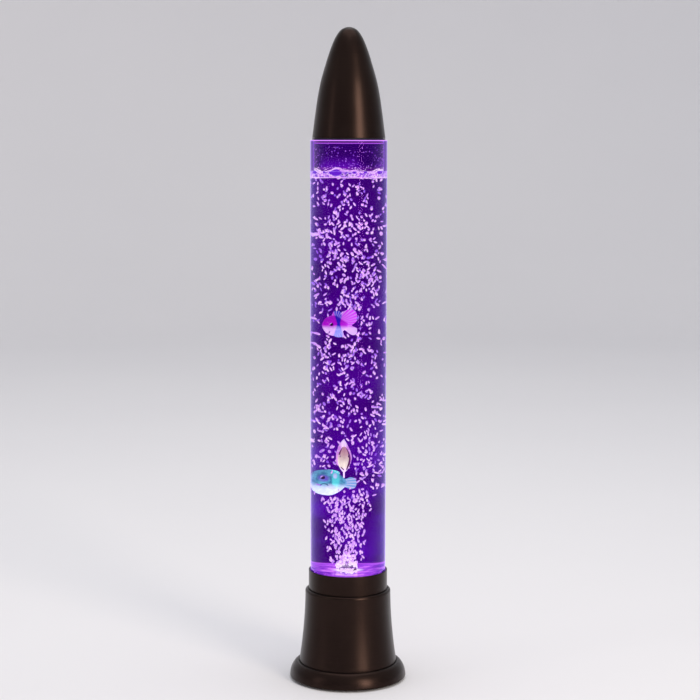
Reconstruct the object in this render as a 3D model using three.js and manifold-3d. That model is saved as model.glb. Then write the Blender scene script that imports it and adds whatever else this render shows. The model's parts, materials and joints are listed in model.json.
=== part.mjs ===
// A free-standing water lamp with rising air bubbles and three swimming fish.
// A clear tube of water stands in a collar on a flared metal base, under a bullet-shaped cap.
// The base holds the lights, the air pump, the hoses and the controls on its rear side.
// Millimetres, +Z up, the front towards -Y. The origin is on the table, on the tube's axis.

import * as THREE from "three";
import { mergeVertices } from "three/addons/utils/BufferGeometryUtils.js";
import Module from "manifold-3d";

const wasm = await Module();
wasm.setup();

// Driving dimensions of the outer form
const tubeOuterRadius = 35;
const tubeWall = 3;
const tubeLength = 413;
const capInset = 1.7;
const capRadius = tubeOuterRadius - capInset;
const capHeight = 99.1;
const collarProud = 18.5;
const shoulderReach = 5;
const shoulderRadius = tubeOuterRadius + shoulderReach;
const bodyFlare = 5.8;
const bodyFootRadius = shoulderRadius + bodyFlare;
const bodyHeight = 69.4;
const skirtReach = 8.8;
const footRadius = bodyFootRadius + skirtReach;
const ringHeight = 14.6;
const padProud = 2;

// Clearances and cuts
const seatGap = 0.3;
const runGap = 0.35;
const overrun = 2;
const weldDistance = 0.0001;

// Counts of the steps in round shapes
const wideSteps = 40;
const smallSteps = 16;
const fineSteps = 12;
const finCurveSteps = 5;

// Walls and ledges of the outer shells
const capWall = 1.5;
const collarWall = 1.5;
const bodyWall = 1.6;
const lipThickness = 2;
const edgeRound = 0.6;

// Heights of the stacked shells, from the table up
const ringTop = padProud + ringHeight;
const shoulderTop = ringTop + bodyHeight;
const collarTop = shoulderTop + collarProud;

// Turns [radius, height] points round the Z axis. An outline off the axis closes on itself.
function turned(outline, steps = wideSteps) {
  const points = outline.map(([radius, height]) => new THREE.Vector2(radius, height));
  if (THREE.ShapeUtils.area(points) < 0) points.reverse();
  if (points[0].x > 0) points.push(points[0].clone());
  return new THREE.LatheGeometry(points, steps).rotateX(Math.PI / 2);
}

// A plain round rod or disc from one height to another.
function rod(radius, low, high, steps = smallSteps) {
  return turned([[0, low], [radius, low], [radius, high], [0, high]], steps);
}

// A round sleeve with a bore.
function sleeve(innerRadius, outerRadius, low, high, steps = wideSteps) {
  return turned([[innerRadius, low], [outerRadius, low], [outerRadius, high], [innerRadius, high]], steps);
}

// A block given by its size and the middle of its underside.
function block(width, depth, height, x = 0, y = 0, low = 0) {
  return new THREE.BoxGeometry(width, depth, height).translate(x, y, low + height / 2);
}

// A flat plate of an outline in the XY plane, from one height to another.
function plate(shape, low, high, curveSegments = fineSteps) {
  const settings = { depth: high - low, bevelEnabled: false, curveSegments };
  return new THREE.ExtrudeGeometry(shape, settings).translate(0, 0, low);
}

// A six-sided outline of the given corner radius.
function hexagon(cornerRadius) {
  const shape = new THREE.Shape();
  const corners = 6;
  for (let i = 0; i < corners; i++) {
    const angle = (i / corners) * 2 * Math.PI;
    const place = [cornerRadius * Math.cos(angle), cornerRadius * Math.sin(angle)];
    if (i === 0) shape.moveTo(...place);
    else shape.lineTo(...place);
  }
  shape.closePath();
  return shape;
}

// A round hole for an outline.
function roundHole(radius) {
  return new THREE.Path().absarc(0, 0, radius, 0, 2 * Math.PI, true);
}

// Turns a shape that stands on Z so that it points along +Y.
function facingBack(geometry) {
  return geometry.rotateX(-Math.PI / 2);
}

function toSolid(geometry) {
  const plain = geometry.clone();
  plain.deleteAttribute("normal");
  plain.deleteAttribute("uv");
  const merged = mergeVertices(plain, weldDistance);
  const vertProperties = merged.getAttribute("position").array;
  const triVerts = new Uint32Array(merged.getIndex().array);
  return new wasm.Manifold(new wasm.Mesh({ numProp: 3, vertProperties, triVerts }));
}

function toGeometry(solid) {
  const mesh = solid.getMesh();
  const geometry = new THREE.BufferGeometry();
  geometry.setAttribute("position", new THREE.BufferAttribute(mesh.vertProperties, 3));
  geometry.setIndex(new THREE.BufferAttribute(mesh.triVerts, 1));
  return geometry;
}

// The first shape without the others.
function cut(body, ...tools) {
  return toGeometry(tools.reduce((left, tool) => left.subtract(toSolid(tool)), toSolid(body)));
}

// All shapes as one solid.
function join(first, ...others) {
  return toGeometry(others.reduce((sum, other) => sum.add(toSolid(other)), toSolid(first)));
}

const lamp = new THREE.Group();

function finish(color, roughness, metalness) {
  return { color, roughness, metalness };
}

const gunmetal = finish(0x5c524c, 0.32, 0.9);
const clearAcrylic = { ...finish(0xe6e0ff, 0.08, 0), transparent: true, opacity: 0.35 };
const brightMetal = finish(0xb8b8bc, 0.3, 1);
const brass = finish(0xb99a5b, 0.35, 1);
const blackPlastic = finish(0x1b1a1c, 0.5, 0);
const greyPlastic = finish(0x6f6d70, 0.55, 0);
const rubber = finish(0x161616, 0.85, 0);
const silicone = finish(0xdcdcd8, 0.45, 0);
const boardGreen = finish(0x1f5b3a, 0.5, 0);
const ledWhite = finish(0xf2ecff, 0.3, 0);
const copper = finish(0xb5673a, 0.4, 0.8);
const magnetGrey = finish(0x3a3a3d, 0.5, 0.5);
const coreSteel = finish(0x77777a, 0.45, 0.8);

function add(name, geometry, look, group = lamp) {
  geometry.computeVertexNormals();
  const mesh = new THREE.Mesh(geometry, new THREE.MeshStandardMaterial(look));
  mesh.name = name;
  group.add(mesh);
  return mesh;
}

// Collar: the sleeve that holds the tube, with an inner shelf and a flange under the body's lip
const shelfThickness = 3;
const shelfReach = 7;
const shelfDrop = 1;
const flangeThickness = 2;
const flangeReach = 1.2;
const collarInnerRadius = tubeOuterRadius + seatGap;
const collarOuterRadius = collarInnerRadius + collarWall;
const shelfInnerRadius = collarInnerRadius - shelfReach;
const flangeRadius = collarOuterRadius + flangeReach;
const flangeTop = shoulderTop - lipThickness - seatGap;
const collarBottom = flangeTop - flangeThickness;
const gasketThickness = 1.4;
const trayPocketWall = 2.8;
const trayPocketRadius = collarOuterRadius - trayPocketWall;
const shelfBottom = shoulderTop - shelfDrop;
const shelfTop = shelfBottom + shelfThickness;
const screwCount = 3;
const screwShankRadius = 1.2;
const screwHeadRadius = 2.4;
const screwHeadHeight = 1.6;
const trayRadius = trayPocketRadius - seatGap;
const screwCircle = (shelfInnerRadius + trayRadius) / 2;

// Lays copies of a shape round the Z axis, with the first at the start angle.
function around(count, radius, makeShape, startAngle = 0) {
  const shapes = [];
  for (let i = 0; i < count; i++) {
    const angle = startAngle + (i / count) * 2 * Math.PI;
    shapes.push(makeShape().translate(radius * Math.cos(angle), radius * Math.sin(angle), 0));
  }
  return shapes;
}

function makeCollar() {
  const shell = turned([
    [trayPocketRadius, collarBottom],
    [flangeRadius, collarBottom],
    [flangeRadius, flangeTop],
    [collarOuterRadius, flangeTop],
    [collarOuterRadius, collarTop - edgeRound],
    [collarOuterRadius - edgeRound, collarTop],
    [collarInnerRadius, collarTop],
    [collarInnerRadius, shelfTop],
    [shelfInnerRadius, shelfTop],
    [shelfInnerRadius, shelfBottom],
    [trayPocketRadius, shelfBottom],
  ]);
  const pilotRadius = screwShankRadius + seatGap;
  const pilots = around(screwCount, screwCircle, () =>
    rod(pilotRadius, shelfBottom - overrun, shelfTop + overrun),
  );
  add("collar", cut(shell, ...pilots), gunmetal);
}

// Tube, its floor and its gasket
const tubeInnerRadius = tubeOuterRadius - tubeWall;
const tubeBottom = shelfTop + gasketThickness + 2 * seatGap;
const tubeTop = tubeBottom + tubeLength;
const floorThickness = 5;
const floorProud = 0.5;
const floorTop = collarTop + floorProud;
const floorBottom = floorTop - floorThickness;
const floorHoleRadius = 4;

function makeTube() {
  const rimChamfer = edgeRound / 2;
  const wall = turned([
    [tubeInnerRadius, tubeBottom],
    [tubeOuterRadius, tubeBottom],
    [tubeOuterRadius, tubeTop - rimChamfer],
    [tubeOuterRadius - rimChamfer, tubeTop],
    [tubeInnerRadius, tubeTop],
  ]);
  add("tube", wall, clearAcrylic);
  const discRadius = tubeInnerRadius - seatGap;
  add("tube_floor", sleeve(floorHoleRadius, discRadius, floorBottom, floorTop), clearAcrylic);
  const gasketLow = shelfTop + seatGap;
  const gasketHigh = gasketLow + gasketThickness;
  const gasketInnerRadius = tubeInnerRadius - edgeRound;
  const gasketOuterRadius = tubeOuterRadius - edgeRound;
  add("tube_gasket", sleeve(gasketInnerRadius, gasketOuterRadius, gasketLow, gasketHigh), rubber);
}

// Cap: a hollow bullet-shaped shell on a plug that fits into the tube
const plugFlange = 1.3;
const plugDepth = 3.4;
const plugWall = 1.6;
const plugSpigotWall = 3;
const ventRadius = 1.5;
const capBottom = tubeTop + plugFlange + 2 * seatGap;
const capCurveSteps = 11;
const capInnerSteps = 6;

// The cap's outline from its foot to its blunt tip, as shares of its height and radius.
const capHeightShares = [0, 0.04, 0.21, 0.38, 0.52, 0.67, 0.785, 0.895, 0.965, 0.993, 1];
const capRadiusShares = [1, 0.985, 0.92, 0.845, 0.76, 0.63, 0.52, 0.385, 0.245, 0.11, 0];

function capOutline(radius, height, steps) {
  const points = capHeightShares.map(
    (share, i) => new THREE.Vector2(capRadiusShares[i] * radius, share * height),
  );
  const along = new THREE.SplineCurve(points).getPoints(steps);
  return along.map((point, i) => [i === steps ? 0 : point.x, capBottom + point.y]);
}

function makeCapShell() {
  const outer = capOutline(capRadius, capHeight, capCurveSteps);
  const inner = capOutline(capRadius - capWall, capHeight - capWall, capInnerSteps);
  add("cap_shell", turned([...inner.reverse(), ...outer]), gunmetal);
}

function makeCapPlug() {
  const flangeLow = tubeTop + seatGap;
  const flangeHigh = flangeLow + plugFlange;
  const spigotRadius = tubeInnerRadius - seatGap;
  const spigotLow = flangeLow - plugDepth;
  const spigotInnerRadius = spigotRadius - plugSpigotWall;
  const plug = turned([
    [ventRadius, flangeHigh - plugWall],
    [spigotInnerRadius, flangeHigh - plugWall],
    [spigotInnerRadius, spigotLow],
    [spigotRadius, spigotLow],
    [spigotRadius, flangeLow],
    [capRadius, flangeLow],
    [capRadius, flangeHigh],
    [ventRadius, flangeHigh],
  ]);
  add("cap_plug", plug, blackPlastic);
}

// Base body: a shell whose radius grows towards the foot
const taperPower = 1.9;
const bodyCurveSteps = 6;
const shoulderRound = 2;
const ledgeHeight = 10;
const ledgeTop = padProud + ledgeHeight;

function bodyRadius(height) {
  const share = Math.min(Math.max((height - ringTop) / bodyHeight, 0), 1);
  return shoulderRadius + bodyFlare * (1 - share) ** taperPower;
}

// Points up the body's wall, set out from its outer face by a distance.
function bodyWallPoints(outwards, low, high) {
  const points = [];
  for (let i = 0; i <= bodyCurveSteps; i++) {
    const height = low + (i / bodyCurveSteps) * (high - low);
    points.push([bodyRadius(height) + outwards, height]);
  }
  return points;
}

// The shoulder's rounding, from the wall to the flat top.
function shoulderPoints(radius) {
  const points = [];
  const steps = 3;
  for (let i = 1; i <= steps; i++) {
    const angle = (i / steps) * (Math.PI / 2);
    const inset = radius * (1 - Math.cos(angle));
    points.push([shoulderRadius - inset, shoulderTop - radius + radius * Math.sin(angle)]);
  }
  return points;
}

function makeBodyShell() {
  const bodyBottom = ledgeTop + seatGap;
  const lipRadius = collarOuterRadius + seatGap;
  return turned([
    [bodyFootRadius, bodyBottom],
    ...bodyWallPoints(0, ringTop, shoulderTop - shoulderRound),
    ...shoulderPoints(shoulderRound),
    [lipRadius, shoulderTop],
    [lipRadius, shoulderTop - lipThickness],
    ...bodyWallPoints(-bodyWall, ringTop, shoulderTop - lipThickness).reverse(),
    [bodyFootRadius - bodyWall, bodyBottom],
  ]);
}

// Foot ring: the flared skirt with a lip round the body and an inner ledge
const lipWall = 0.8;
const ledgeReach = 5.8;
const ledgeInnerRadius = bodyFootRadius - ledgeReach;
const ledgeThickness = 4.5;
const skirtWall = 3;
const skirtCurveSteps = 8;
const ledgeBottom = ledgeTop - ledgeThickness;
const coverScrewCount = 4;
const plateThickness = 2.5;
const plateRadius = footRadius - skirtWall - edgeRound - seatGap;
const coverScrewCircle = (ledgeInnerRadius + plateRadius) / 2;

// The skirt's outline from its bottom edge to its lip, as shares of its reach and height.
const skirtReachShares = [0.96, 1, 0.9, 0.71, 0.4, 0.16, 0];
const skirtHeightShares = [0, 0.1, 0.41, 0.66, 0.89, 0.98, 1];

function skirtOutline() {
  const lipOuterRadius = bodyFootRadius + seatGap + lipWall;
  const points = skirtReachShares.map((share, i) => {
    const radius = lipOuterRadius + share * (footRadius - lipOuterRadius);
    return new THREE.Vector2(radius, padProud + skirtHeightShares[i] * ringHeight);
  });
  return new THREE.SplineCurve(points).getPoints(skirtCurveSteps).map((point) => [point.x, point.y]);
}

function makeFootRing() {
  const outer = skirtOutline();
  const pocketRadius = footRadius - skirtWall - edgeRound;
  const ring = turned([
    ...outer,
    [bodyFootRadius + seatGap, ringTop],
    [bodyFootRadius + seatGap, ledgeTop],
    [ledgeInnerRadius, ledgeTop],
    [ledgeInnerRadius, ledgeBottom],
    [pocketRadius, ledgeBottom],
    [pocketRadius, padProud],
  ]);
  const pilotRadius = screwShankRadius + seatGap;
  const pilotTop = ledgeTop - edgeRound;
  const pilots = around(coverScrewCount, coverScrewCircle, () =>
    rod(pilotRadius, ledgeBottom - overrun, pilotTop),
  );
  add("foot_ring", cut(ring, ...pilots), gunmetal);
}

// Bottom plate with its screws and rubber pads
const padRadius = 6;
const padInset = 4.7;
const padCircle = plateRadius - padInset - padRadius;
const plateTop = ledgeBottom - seatGap;
const plateBottom = plateTop - plateThickness;
const coverScrewLength = plateThickness + ledgeThickness - seatGap - 2 * edgeRound;

// A screw that points up, given the underside of what its head holds.
function uprightScrew(seat, length) {
  const headTop = seat - seatGap;
  return turned(
    [
      [0, headTop - screwHeadHeight],
      [screwHeadRadius - edgeRound, headTop - screwHeadHeight],
      [screwHeadRadius, headTop - screwHeadHeight + edgeRound],
      [screwHeadRadius, headTop],
      [screwShankRadius, headTop],
      [screwShankRadius, seat + length],
      [0, seat + length],
    ],
    fineSteps,
  );
}

function makeBottomPlate() {
  const holeRadius = screwShankRadius + seatGap;
  const disc = rod(plateRadius, plateBottom, plateTop, wideSteps);
  const holes = around(coverScrewCount, coverScrewCircle, () =>
    rod(holeRadius, plateBottom - overrun, plateTop + overrun),
  );
  add("bottom_plate", cut(disc, ...holes), blackPlastic);
  const screws = around(coverScrewCount, coverScrewCircle, () =>
    uprightScrew(plateBottom, coverScrewLength),
  );
  screws.forEach((screw, i) => add(`cover_screw_${i + 1}`, screw, brightMetal));
  const padTop = plateBottom - seatGap;
  const padOutline = [
    [0, 0],
    [padRadius - edgeRound, 0],
    [padRadius, edgeRound],
    [padRadius, padTop],
    [0, padTop],
  ];
  const makePad = () => turned(padOutline, smallSteps);
  const pads = around(coverScrewCount, padCircle, makePad, Math.PI / 4);
  pads.forEach((pad, i) => add(`foot_pad_${i + 1}`, pad, rubber));
}

// Light tray under the collar's shelf, with the ring of LEDs that shine up into the tube
const trayThickness = 3;
const trayTop = shelfBottom - seatGap;
const trayBottom = trayTop - trayThickness;
const hoseHoleRadius = 6;
const boardThickness = 1.6;
const boardRadius = shelfInnerRadius - 2 * seatGap - edgeRound;
const boardBottom = shelfBottom;
const ledCount = 6;
const ledCircle = 19;
const ledWidth = 5;
const ledHeight = 1.6;
const postRadius = 2.4;
const postDrop = 5.8;
const postSpread = 12;
const postBack = 16;
const wireRadius = 1.1;
const ledWireX = -7;
const ledWireY = 14;

function makeLightTray() {
  const disc = rod(trayRadius, trayBottom, trayTop, wideSteps);
  const postTop = trayBottom + edgeRound;
  const posts = [-postSpread, postSpread].map((x) =>
    rod(postRadius, trayBottom - postDrop, postTop, fineSteps).translate(x, postBack, 0),
  );
  const hoseHole = rod(hoseHoleRadius, trayBottom - overrun, trayTop + overrun);
  const wireHole = rod(wireRadius + runGap, trayBottom - overrun, trayTop + overrun);
  wireHole.translate(ledWireX, ledWireY, 0);
  const screwHoles = around(screwCount, screwCircle, () =>
    rod(screwShankRadius + seatGap, trayBottom - overrun, trayTop + overrun),
  );
  add("light_tray", cut(join(disc, ...posts), hoseHole, wireHole, ...screwHoles), greyPlastic);
  const screwLength = trayThickness + shelfThickness - edgeRound;
  const screws = around(screwCount, screwCircle, () => uprightScrew(trayBottom, screwLength));
  screws.forEach((screw, i) => add(`tray_screw_${i + 1}`, screw, brightMetal));
}

function makeLeds() {
  const boardTop = boardBottom + boardThickness;
  add("led_board", sleeve(hoseHoleRadius, boardRadius, boardBottom, boardTop), boardGreen);
  const low = boardTop + seatGap;
  const lensRadius = ledWidth / 2 - edgeRound;
  const lensTop = low + ledHeight + edgeRound;
  const leds = around(ledCount, ledCircle, () =>
    join(block(ledWidth, ledWidth, ledHeight, 0, 0, low), rod(lensRadius, low, lensTop, fineSteps)),
  );
  leds.forEach((led, i) => add(`led_${i + 1}`, led, ledWhite));
}

// Air nozzle through the tube floor, with its seal, nut, hoses and check valve
const boreRadius = 0.9;
const barbRadius = 1.3;
const hoseInnerRadius = barbRadius + seatGap;
const hoseWall = 1;
const hoseOuterRadius = hoseInnerRadius + hoseWall;
const nozzleHeadRadius = 6;
const nozzleHeadHeight = 4.5;
const nozzleShankRadius = floorHoleRadius - seatGap;
const sealThickness = 1;
const nutHeight = 3;
const nutCornerRadius = 6.6;
const barbLength = 7;
const nozzleNutTop = floorBottom - seatGap;
const nozzleShankBottom = nozzleNutTop - nutHeight - edgeRound;
const nozzleBottom = nozzleShankBottom - barbLength;

function makeNozzle() {
  const headLow = floorTop + sealThickness + 2 * seatGap;
  const headTop = headLow + nozzleHeadHeight;
  const nozzle = turned(
    [
      [boreRadius, nozzleBottom],
      [barbRadius, nozzleBottom],
      [barbRadius, nozzleShankBottom],
      [nozzleShankRadius, nozzleShankBottom],
      [nozzleShankRadius, headLow],
      [nozzleHeadRadius, headLow],
      [nozzleHeadRadius, headLow + nozzleHeadHeight / 2],
      [nozzleHeadRadius / 2, headTop],
      [boreRadius, headTop],
    ],
    smallSteps,
  );
  add("air_nozzle", nozzle, brightMetal);
  const sealLow = floorTop + seatGap;
  const sealHigh = sealLow + sealThickness;
  add("nozzle_seal", sleeve(floorHoleRadius, nozzleHeadRadius, sealLow, sealHigh, smallSteps), rubber);
  const nutShape = hexagon(nutCornerRadius);
  nutShape.holes.push(roundHole(nozzleShankRadius + seatGap));
  add("nozzle_nut", plate(nutShape, nozzleNutTop - nutHeight, nozzleNutTop), brass);
}

// Pump place and size, with the pump's parts stacked from the bottom plate up
const matThickness = 3;
const matInset = 3;
const matLow = plateTop + seatGap;
const pumpLow = matLow + matThickness + seatGap;
const pumpWidth = 36;
const pumpFloor = 2;
const pumpRim = 2;
const pumpWall = 1.6;
const pumpSideGap = 2.9;
const coverHeight = 31;
const pumpDeck = pumpLow + pumpFloor;
const coverLow = pumpDeck + pumpRim + seatGap;
const coverTop = coverLow + coverHeight;

// The pump's corners keep clear of the body's wall at the height of the cover's top.
const pumpReach = bodyRadius(coverTop) - bodyWall - pumpSideGap;
const pumpLength = 2 * Math.sqrt(pumpReach ** 2 - (pumpWidth / 2) ** 2);
const pumpInnerLength = pumpLength - 2 * pumpWall;
const pumpInnerWidth = pumpWidth - 2 * pumpWall;

// Swing arm, magnet, core and coil, placed from the pump's two ends
const armHeight = 20;
const armLevel = pumpDeck + armHeight;
const pivotInset = 6;
const armPivotX = pivotInset - pumpLength / 2;
const armThickness = 2.5;
const armWidth = 8;
const barrelRadius = 2.2;
const trunnionRadius = 1.4;
const earInner = 3.6;
const earThickness = 2.6;
const magnetLength = 6;
const magnetHeight = 8;
const magnetWidth = 8;
const cheekThickness = 1;
const bellowsRadius = 7;
const bellowsFoldDepth = 1.4;
const bellowsFolds = 3;
const valveLength = 20;
const valveWidth = 18;
const valveHeight = 8;
const nippleRadius = barbRadius;
const nippleProud = 3.5;
const nippleLength = pumpWidth / 2 + nippleProud - valveWidth / 2;
const nippleRise = 4.6;
const poleGap = 1.8;
const coreWidth = 10;
const coreHeight = 20;
const coreLength = 14;
const coreLeg = 3;
const coreMiddleLeg = 4;
const coilLength = 8.4;
const coilWall = 4;
const coilDepthWall = 3;
const notchHalfWidth = 3.6;
const coreLow = armLevel - coreHeight / 2;
const coreX = pumpInnerLength / 2 - seatGap - coreLength;
const magnetX = coreX - poleGap - magnetLength;
const armEndX = magnetX - seatGap;
const coilX = coreX + coreLength - coreLeg - seatGap - coilLength / 2;
const coilWidth = coreWidth + 2 * coilDepthWall;
const pumpWireX = coilX;
const pumpWireY = coilWidth / 2 - wireRadius - seatGap;

// The bellows stands under the arm, at a share of the way from its pivot to its end.
const bellowsShare = 0.583;
const bellowsX = armPivotX + bellowsShare * (armEndX - armPivotX);

function makePumpShell() {
  add("pump_mat", block(pumpLength - matInset, pumpWidth - matInset, matThickness, 0, 0, matLow), rubber);
  const outer = block(pumpLength, pumpWidth, pumpFloor + pumpRim, 0, 0, pumpLow);
  const pocket = block(pumpInnerLength, pumpInnerWidth, pumpRim + overrun, 0, 0, pumpDeck);
  const pedestalHeight = coreLow - seatGap - pumpDeck + edgeRound;
  const pedestalX = coreX + coreLength / 2;
  const pedestal = block(coreLength, coreWidth, pedestalHeight, pedestalX, 0, pumpDeck - edgeRound);
  add("pump_tray", join(cut(outer, pocket), pedestal), greyPlastic);
}

function makePumpCover() {
  const outer = block(pumpLength, pumpWidth, coverHeight, 0, 0, coverLow);
  const cutLow = coverLow - overrun;
  const hollow = block(pumpInnerLength, pumpInnerWidth, coverTop - pumpWall - cutLow, 0, 0, cutLow);
  const notchDepth = 2 * pumpWall + overrun;
  const notchHeight = nippleRise + notchHalfWidth + overrun;
  const notch = block(2 * notchHalfWidth, notchDepth, notchHeight, bellowsX, -pumpWidth / 2, cutLow);
  const wireHole = rod(wireRadius + runGap, coverTop - pumpWall - overrun, coverTop + overrun, fineSteps);
  wireHole.translate(pumpWireX, pumpWireY, 0);
  add("pump_cover", cut(outer, hollow, notch, wireHole), greyPlastic);
}

// The E-shaped steel core and the coil on its middle leg
function makeCoreAndCoil() {
  const back = block(coreLeg, coreWidth, coreHeight, coreX + coreLength - coreLeg / 2, 0, coreLow);
  const legX = coreX + coreLength / 2;
  const lower = block(coreLength, coreWidth, coreLeg, legX, 0, coreLow);
  const upper = block(coreLength, coreWidth, coreLeg, legX, 0, coreLow + coreHeight - coreLeg);
  const middle = block(coreLength, coreWidth, coreMiddleLeg, legX, 0, armLevel - coreMiddleLeg / 2);
  add("pump_core", join(back, lower, upper, middle), coreSteel);
  const coilHeight = coreMiddleLeg + 2 * coilWall;
  const winding = block(coilLength, coilWidth, coilHeight, coilX, 0, armLevel - coilHeight / 2);
  const slotWidth = coreWidth + 2 * seatGap;
  const slotHeight = coreMiddleLeg + 2 * seatGap;
  const slot = block(coilLength + overrun, slotWidth, slotHeight, coilX, 0, armLevel - slotHeight / 2);
  add("pump_coil", cut(winding, slot), copper);
}

function makeValveBox() {
  const low = pumpDeck + seatGap;
  const box = block(valveLength, valveWidth, valveHeight, bellowsX, 0, low);
  const reach = valveWidth / 2 + nippleLength;
  const nipple = facingBack(rod(nippleRadius, -reach, 0, fineSteps));
  nipple.translate(bellowsX, 0, low + nippleRise);
  const bore = facingBack(rod(boreRadius, -reach - overrun, -valveWidth / 2 + overrun, fineSteps));
  add("valve_box", cut(join(box, nipple), bore.translate(bellowsX, 0, low + nippleRise)), blackPlastic);
  const bellowsLow = low + valveHeight + seatGap;
  const bellowsHigh = armLevel - armThickness / 2 - seatGap;
  add("pump_bellows", makeBellows(bellowsLow, bellowsHigh).translate(bellowsX, 0, 0), rubber);
}

// Folded rubber bellows: the radius steps in and out with height.
function makeBellows(low, high) {
  const steps = 2 * bellowsFolds;
  const points = [[0, low]];
  for (let i = 0; i <= steps; i++) {
    const radius = bellowsRadius - (i % 2 === 0 ? 0 : bellowsFoldDepth);
    points.push([radius, low + (i / steps) * (high - low)]);
  }
  points.push([0, high]);
  return turned(points, smallSteps);
}

// The clevis that carries the swing arm, and the arm with its magnet
function makeSwingArm() {
  const mountWidth = 2 * (earInner + earThickness);
  const mountLength = 2 * (barrelRadius + edgeRound);
  const low = pumpDeck + seatGap;
  const high = armLevel + barrelRadius + edgeRound;
  const stand = block(mountLength, mountWidth, high - low, armPivotX, 0, low);
  const slotLow = armLevel - barrelRadius - runGap;
  const slotHeight = high - slotLow + overrun;
  const slot = block(mountLength + overrun, 2 * earInner, slotHeight, armPivotX, 0, slotLow);
  const holeReach = earInner + earThickness + overrun;
  const hole = facingBack(rod(trunnionRadius + runGap, -holeReach, holeReach, fineSteps));
  add("arm_mount", cut(stand, slot, hole.translate(armPivotX, 0, armLevel)), greyPlastic);

  const barrelHalf = earInner - runGap;
  const barrel = facingBack(rod(barrelRadius, -barrelHalf, barrelHalf, fineSteps));
  const trunnionHalf = earInner + earThickness - runGap;
  const trunnion = facingBack(rod(trunnionRadius, -trunnionHalf, trunnionHalf, fineSteps));
  const neckWidth = 2 * barrelHalf;
  const neckEnd = armPivotX + mountLength / 2 + edgeRound + barrelRadius;
  const neckLength = neckEnd - armPivotX;
  const armLow = armLevel - armThickness / 2;
  const neck = block(neckLength, neckWidth, armThickness, armPivotX + neckLength / 2, 0, armLow);
  const beamLength = armEndX - neckEnd + edgeRound;
  const beam = block(beamLength, armWidth, armThickness, armEndX - beamLength / 2, 0, armLow);
  const cheekLength = magnetLength + 2 * cheekThickness;
  const cheekY = magnetWidth / 2 + seatGap + cheekThickness / 2;
  const cheekHeight = 2 * armThickness;
  const cheekX = armEndX - cheekThickness + cheekLength / 2 - cheekThickness / 2;
  const cheeks = [-cheekY, cheekY].map((y) =>
    block(cheekLength, cheekThickness, cheekHeight, cheekX, y, armLevel - cheekHeight / 2),
  );
  const yokeLength = 2 * cheekThickness;
  const yokeWidth = 2 * cheekY + cheekThickness;
  const yokeX = armEndX - yokeLength / 2;
  const yoke = block(yokeLength, yokeWidth, cheekHeight, yokeX, 0, armLevel - cheekHeight / 2);
  const pivot = join(barrel, trunnion).translate(armPivotX, 0, armLevel);
  add("pump_arm", join(pivot, neck, beam, yoke, ...cheeks), greyPlastic);
  const magnetLow = armLevel - magnetHeight / 2;
  const magnetMiddle = magnetX + magnetLength / 2;
  add("arm_magnet", block(magnetLength, magnetWidth, magnetHeight, magnetMiddle, 0, magnetLow), magnetGrey);
}

// Air line: from the valve box's nipple up to the nozzle, with the check valve upright in between
const checkValveLow = 36;
const checkValveLength = 12;
const checkValveRadius = 5;
const hoseSides = 8;
const hoseSteps = 18;
const hoseStart = -pumpWidth / 2 - seatGap - edgeRound;
const hoseBend = 10.5;
const hoseStraight = 1.6;
const valveLineY = hoseStart - hoseStraight - hoseBend;

// A round section with the given number of sides, with a bore where one is given.
function roundSection(radius, boreOfSection, sides) {
  const ringOf = (r) => {
    const corners = [];
    for (let i = 0; i < sides; i++) {
      const angle = (i / sides) * 2 * Math.PI;
      corners.push(new THREE.Vector2(r * Math.cos(angle), r * Math.sin(angle)));
    }
    return corners;
  };
  const section = new THREE.Shape(ringOf(radius));
  if (boreOfSection > 0) section.holes.push(new THREE.Path(ringOf(boreOfSection).reverse()));
  return section;
}

// A hose or wire along a smooth curve through the points.
function alongPath(points, radius, boreOfSection, steps, sides) {
  const curve = new THREE.CatmullRomCurve3(points.map((place) => new THREE.Vector3(...place)));
  const settings = { steps, bevelEnabled: false, extrudePath: curve };
  return new THREE.ExtrudeGeometry(roundSection(radius, boreOfSection, sides), settings);
}

function makeCheckValve() {
  const valveHigh = checkValveLow + checkValveLength;
  const valve = turned(
    [
      [boreRadius, checkValveLow - barbLength],
      [barbRadius, checkValveLow - barbLength],
      [barbRadius, checkValveLow],
      [checkValveRadius - edgeRound, checkValveLow],
      [checkValveRadius, checkValveLow + edgeRound],
      [checkValveRadius, valveHigh - edgeRound],
      [checkValveRadius - edgeRound, valveHigh],
      [barbRadius, valveHigh],
      [barbRadius, valveHigh + barbLength],
      [boreRadius, valveHigh + barbLength],
    ],
    smallSteps,
  );
  add("check_valve", valve.translate(bellowsX, valveLineY, 0), silicone);
}

// The lower hose turns up in a quarter circle, with short straight ends.
function makeLowerHose() {
  const nippleLevel = pumpDeck + seatGap + nippleRise;
  const bendMiddleY = valveLineY + hoseBend;
  const points = [[bellowsX, hoseStart, nippleLevel]];
  const bendSteps = 4;
  for (let i = 0; i <= bendSteps; i++) {
    const angle = (i / bendSteps) * (Math.PI / 2);
    const y = bendMiddleY - hoseBend * Math.sin(angle);
    points.push([bellowsX, y, nippleLevel + hoseBend * (1 - Math.cos(angle))]);
  }
  points.push([bellowsX, valveLineY, checkValveLow - seatGap]);
  add("hose_lower", alongPath(points, hoseOuterRadius, hoseInnerRadius, hoseSteps, hoseSides), silicone);
}

// The upper hose swings in from the check valve to the lamp's axis, in shares of the way.
const hoseHeightShares = [0, 0.11, 0.22, 0.36, 0.55, 0.7, 0.84, 1];
const hoseInwardShares = [0, 0, 0, 0.24, 0.76, 1, 1, 1];

function makeUpperHose() {
  const low = checkValveLow + checkValveLength + seatGap;
  const high = nozzleShankBottom - seatGap;
  const points = hoseHeightShares.map((share, i) => {
    const left = 1 - hoseInwardShares[i];
    return [bellowsX * left, valveLineY * left, low + share * (high - low)];
  });
  add("hose_upper", alongPath(points, hoseOuterRadius, hoseInnerRadius, hoseSteps, hoseSides), silicone);
}

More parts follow.
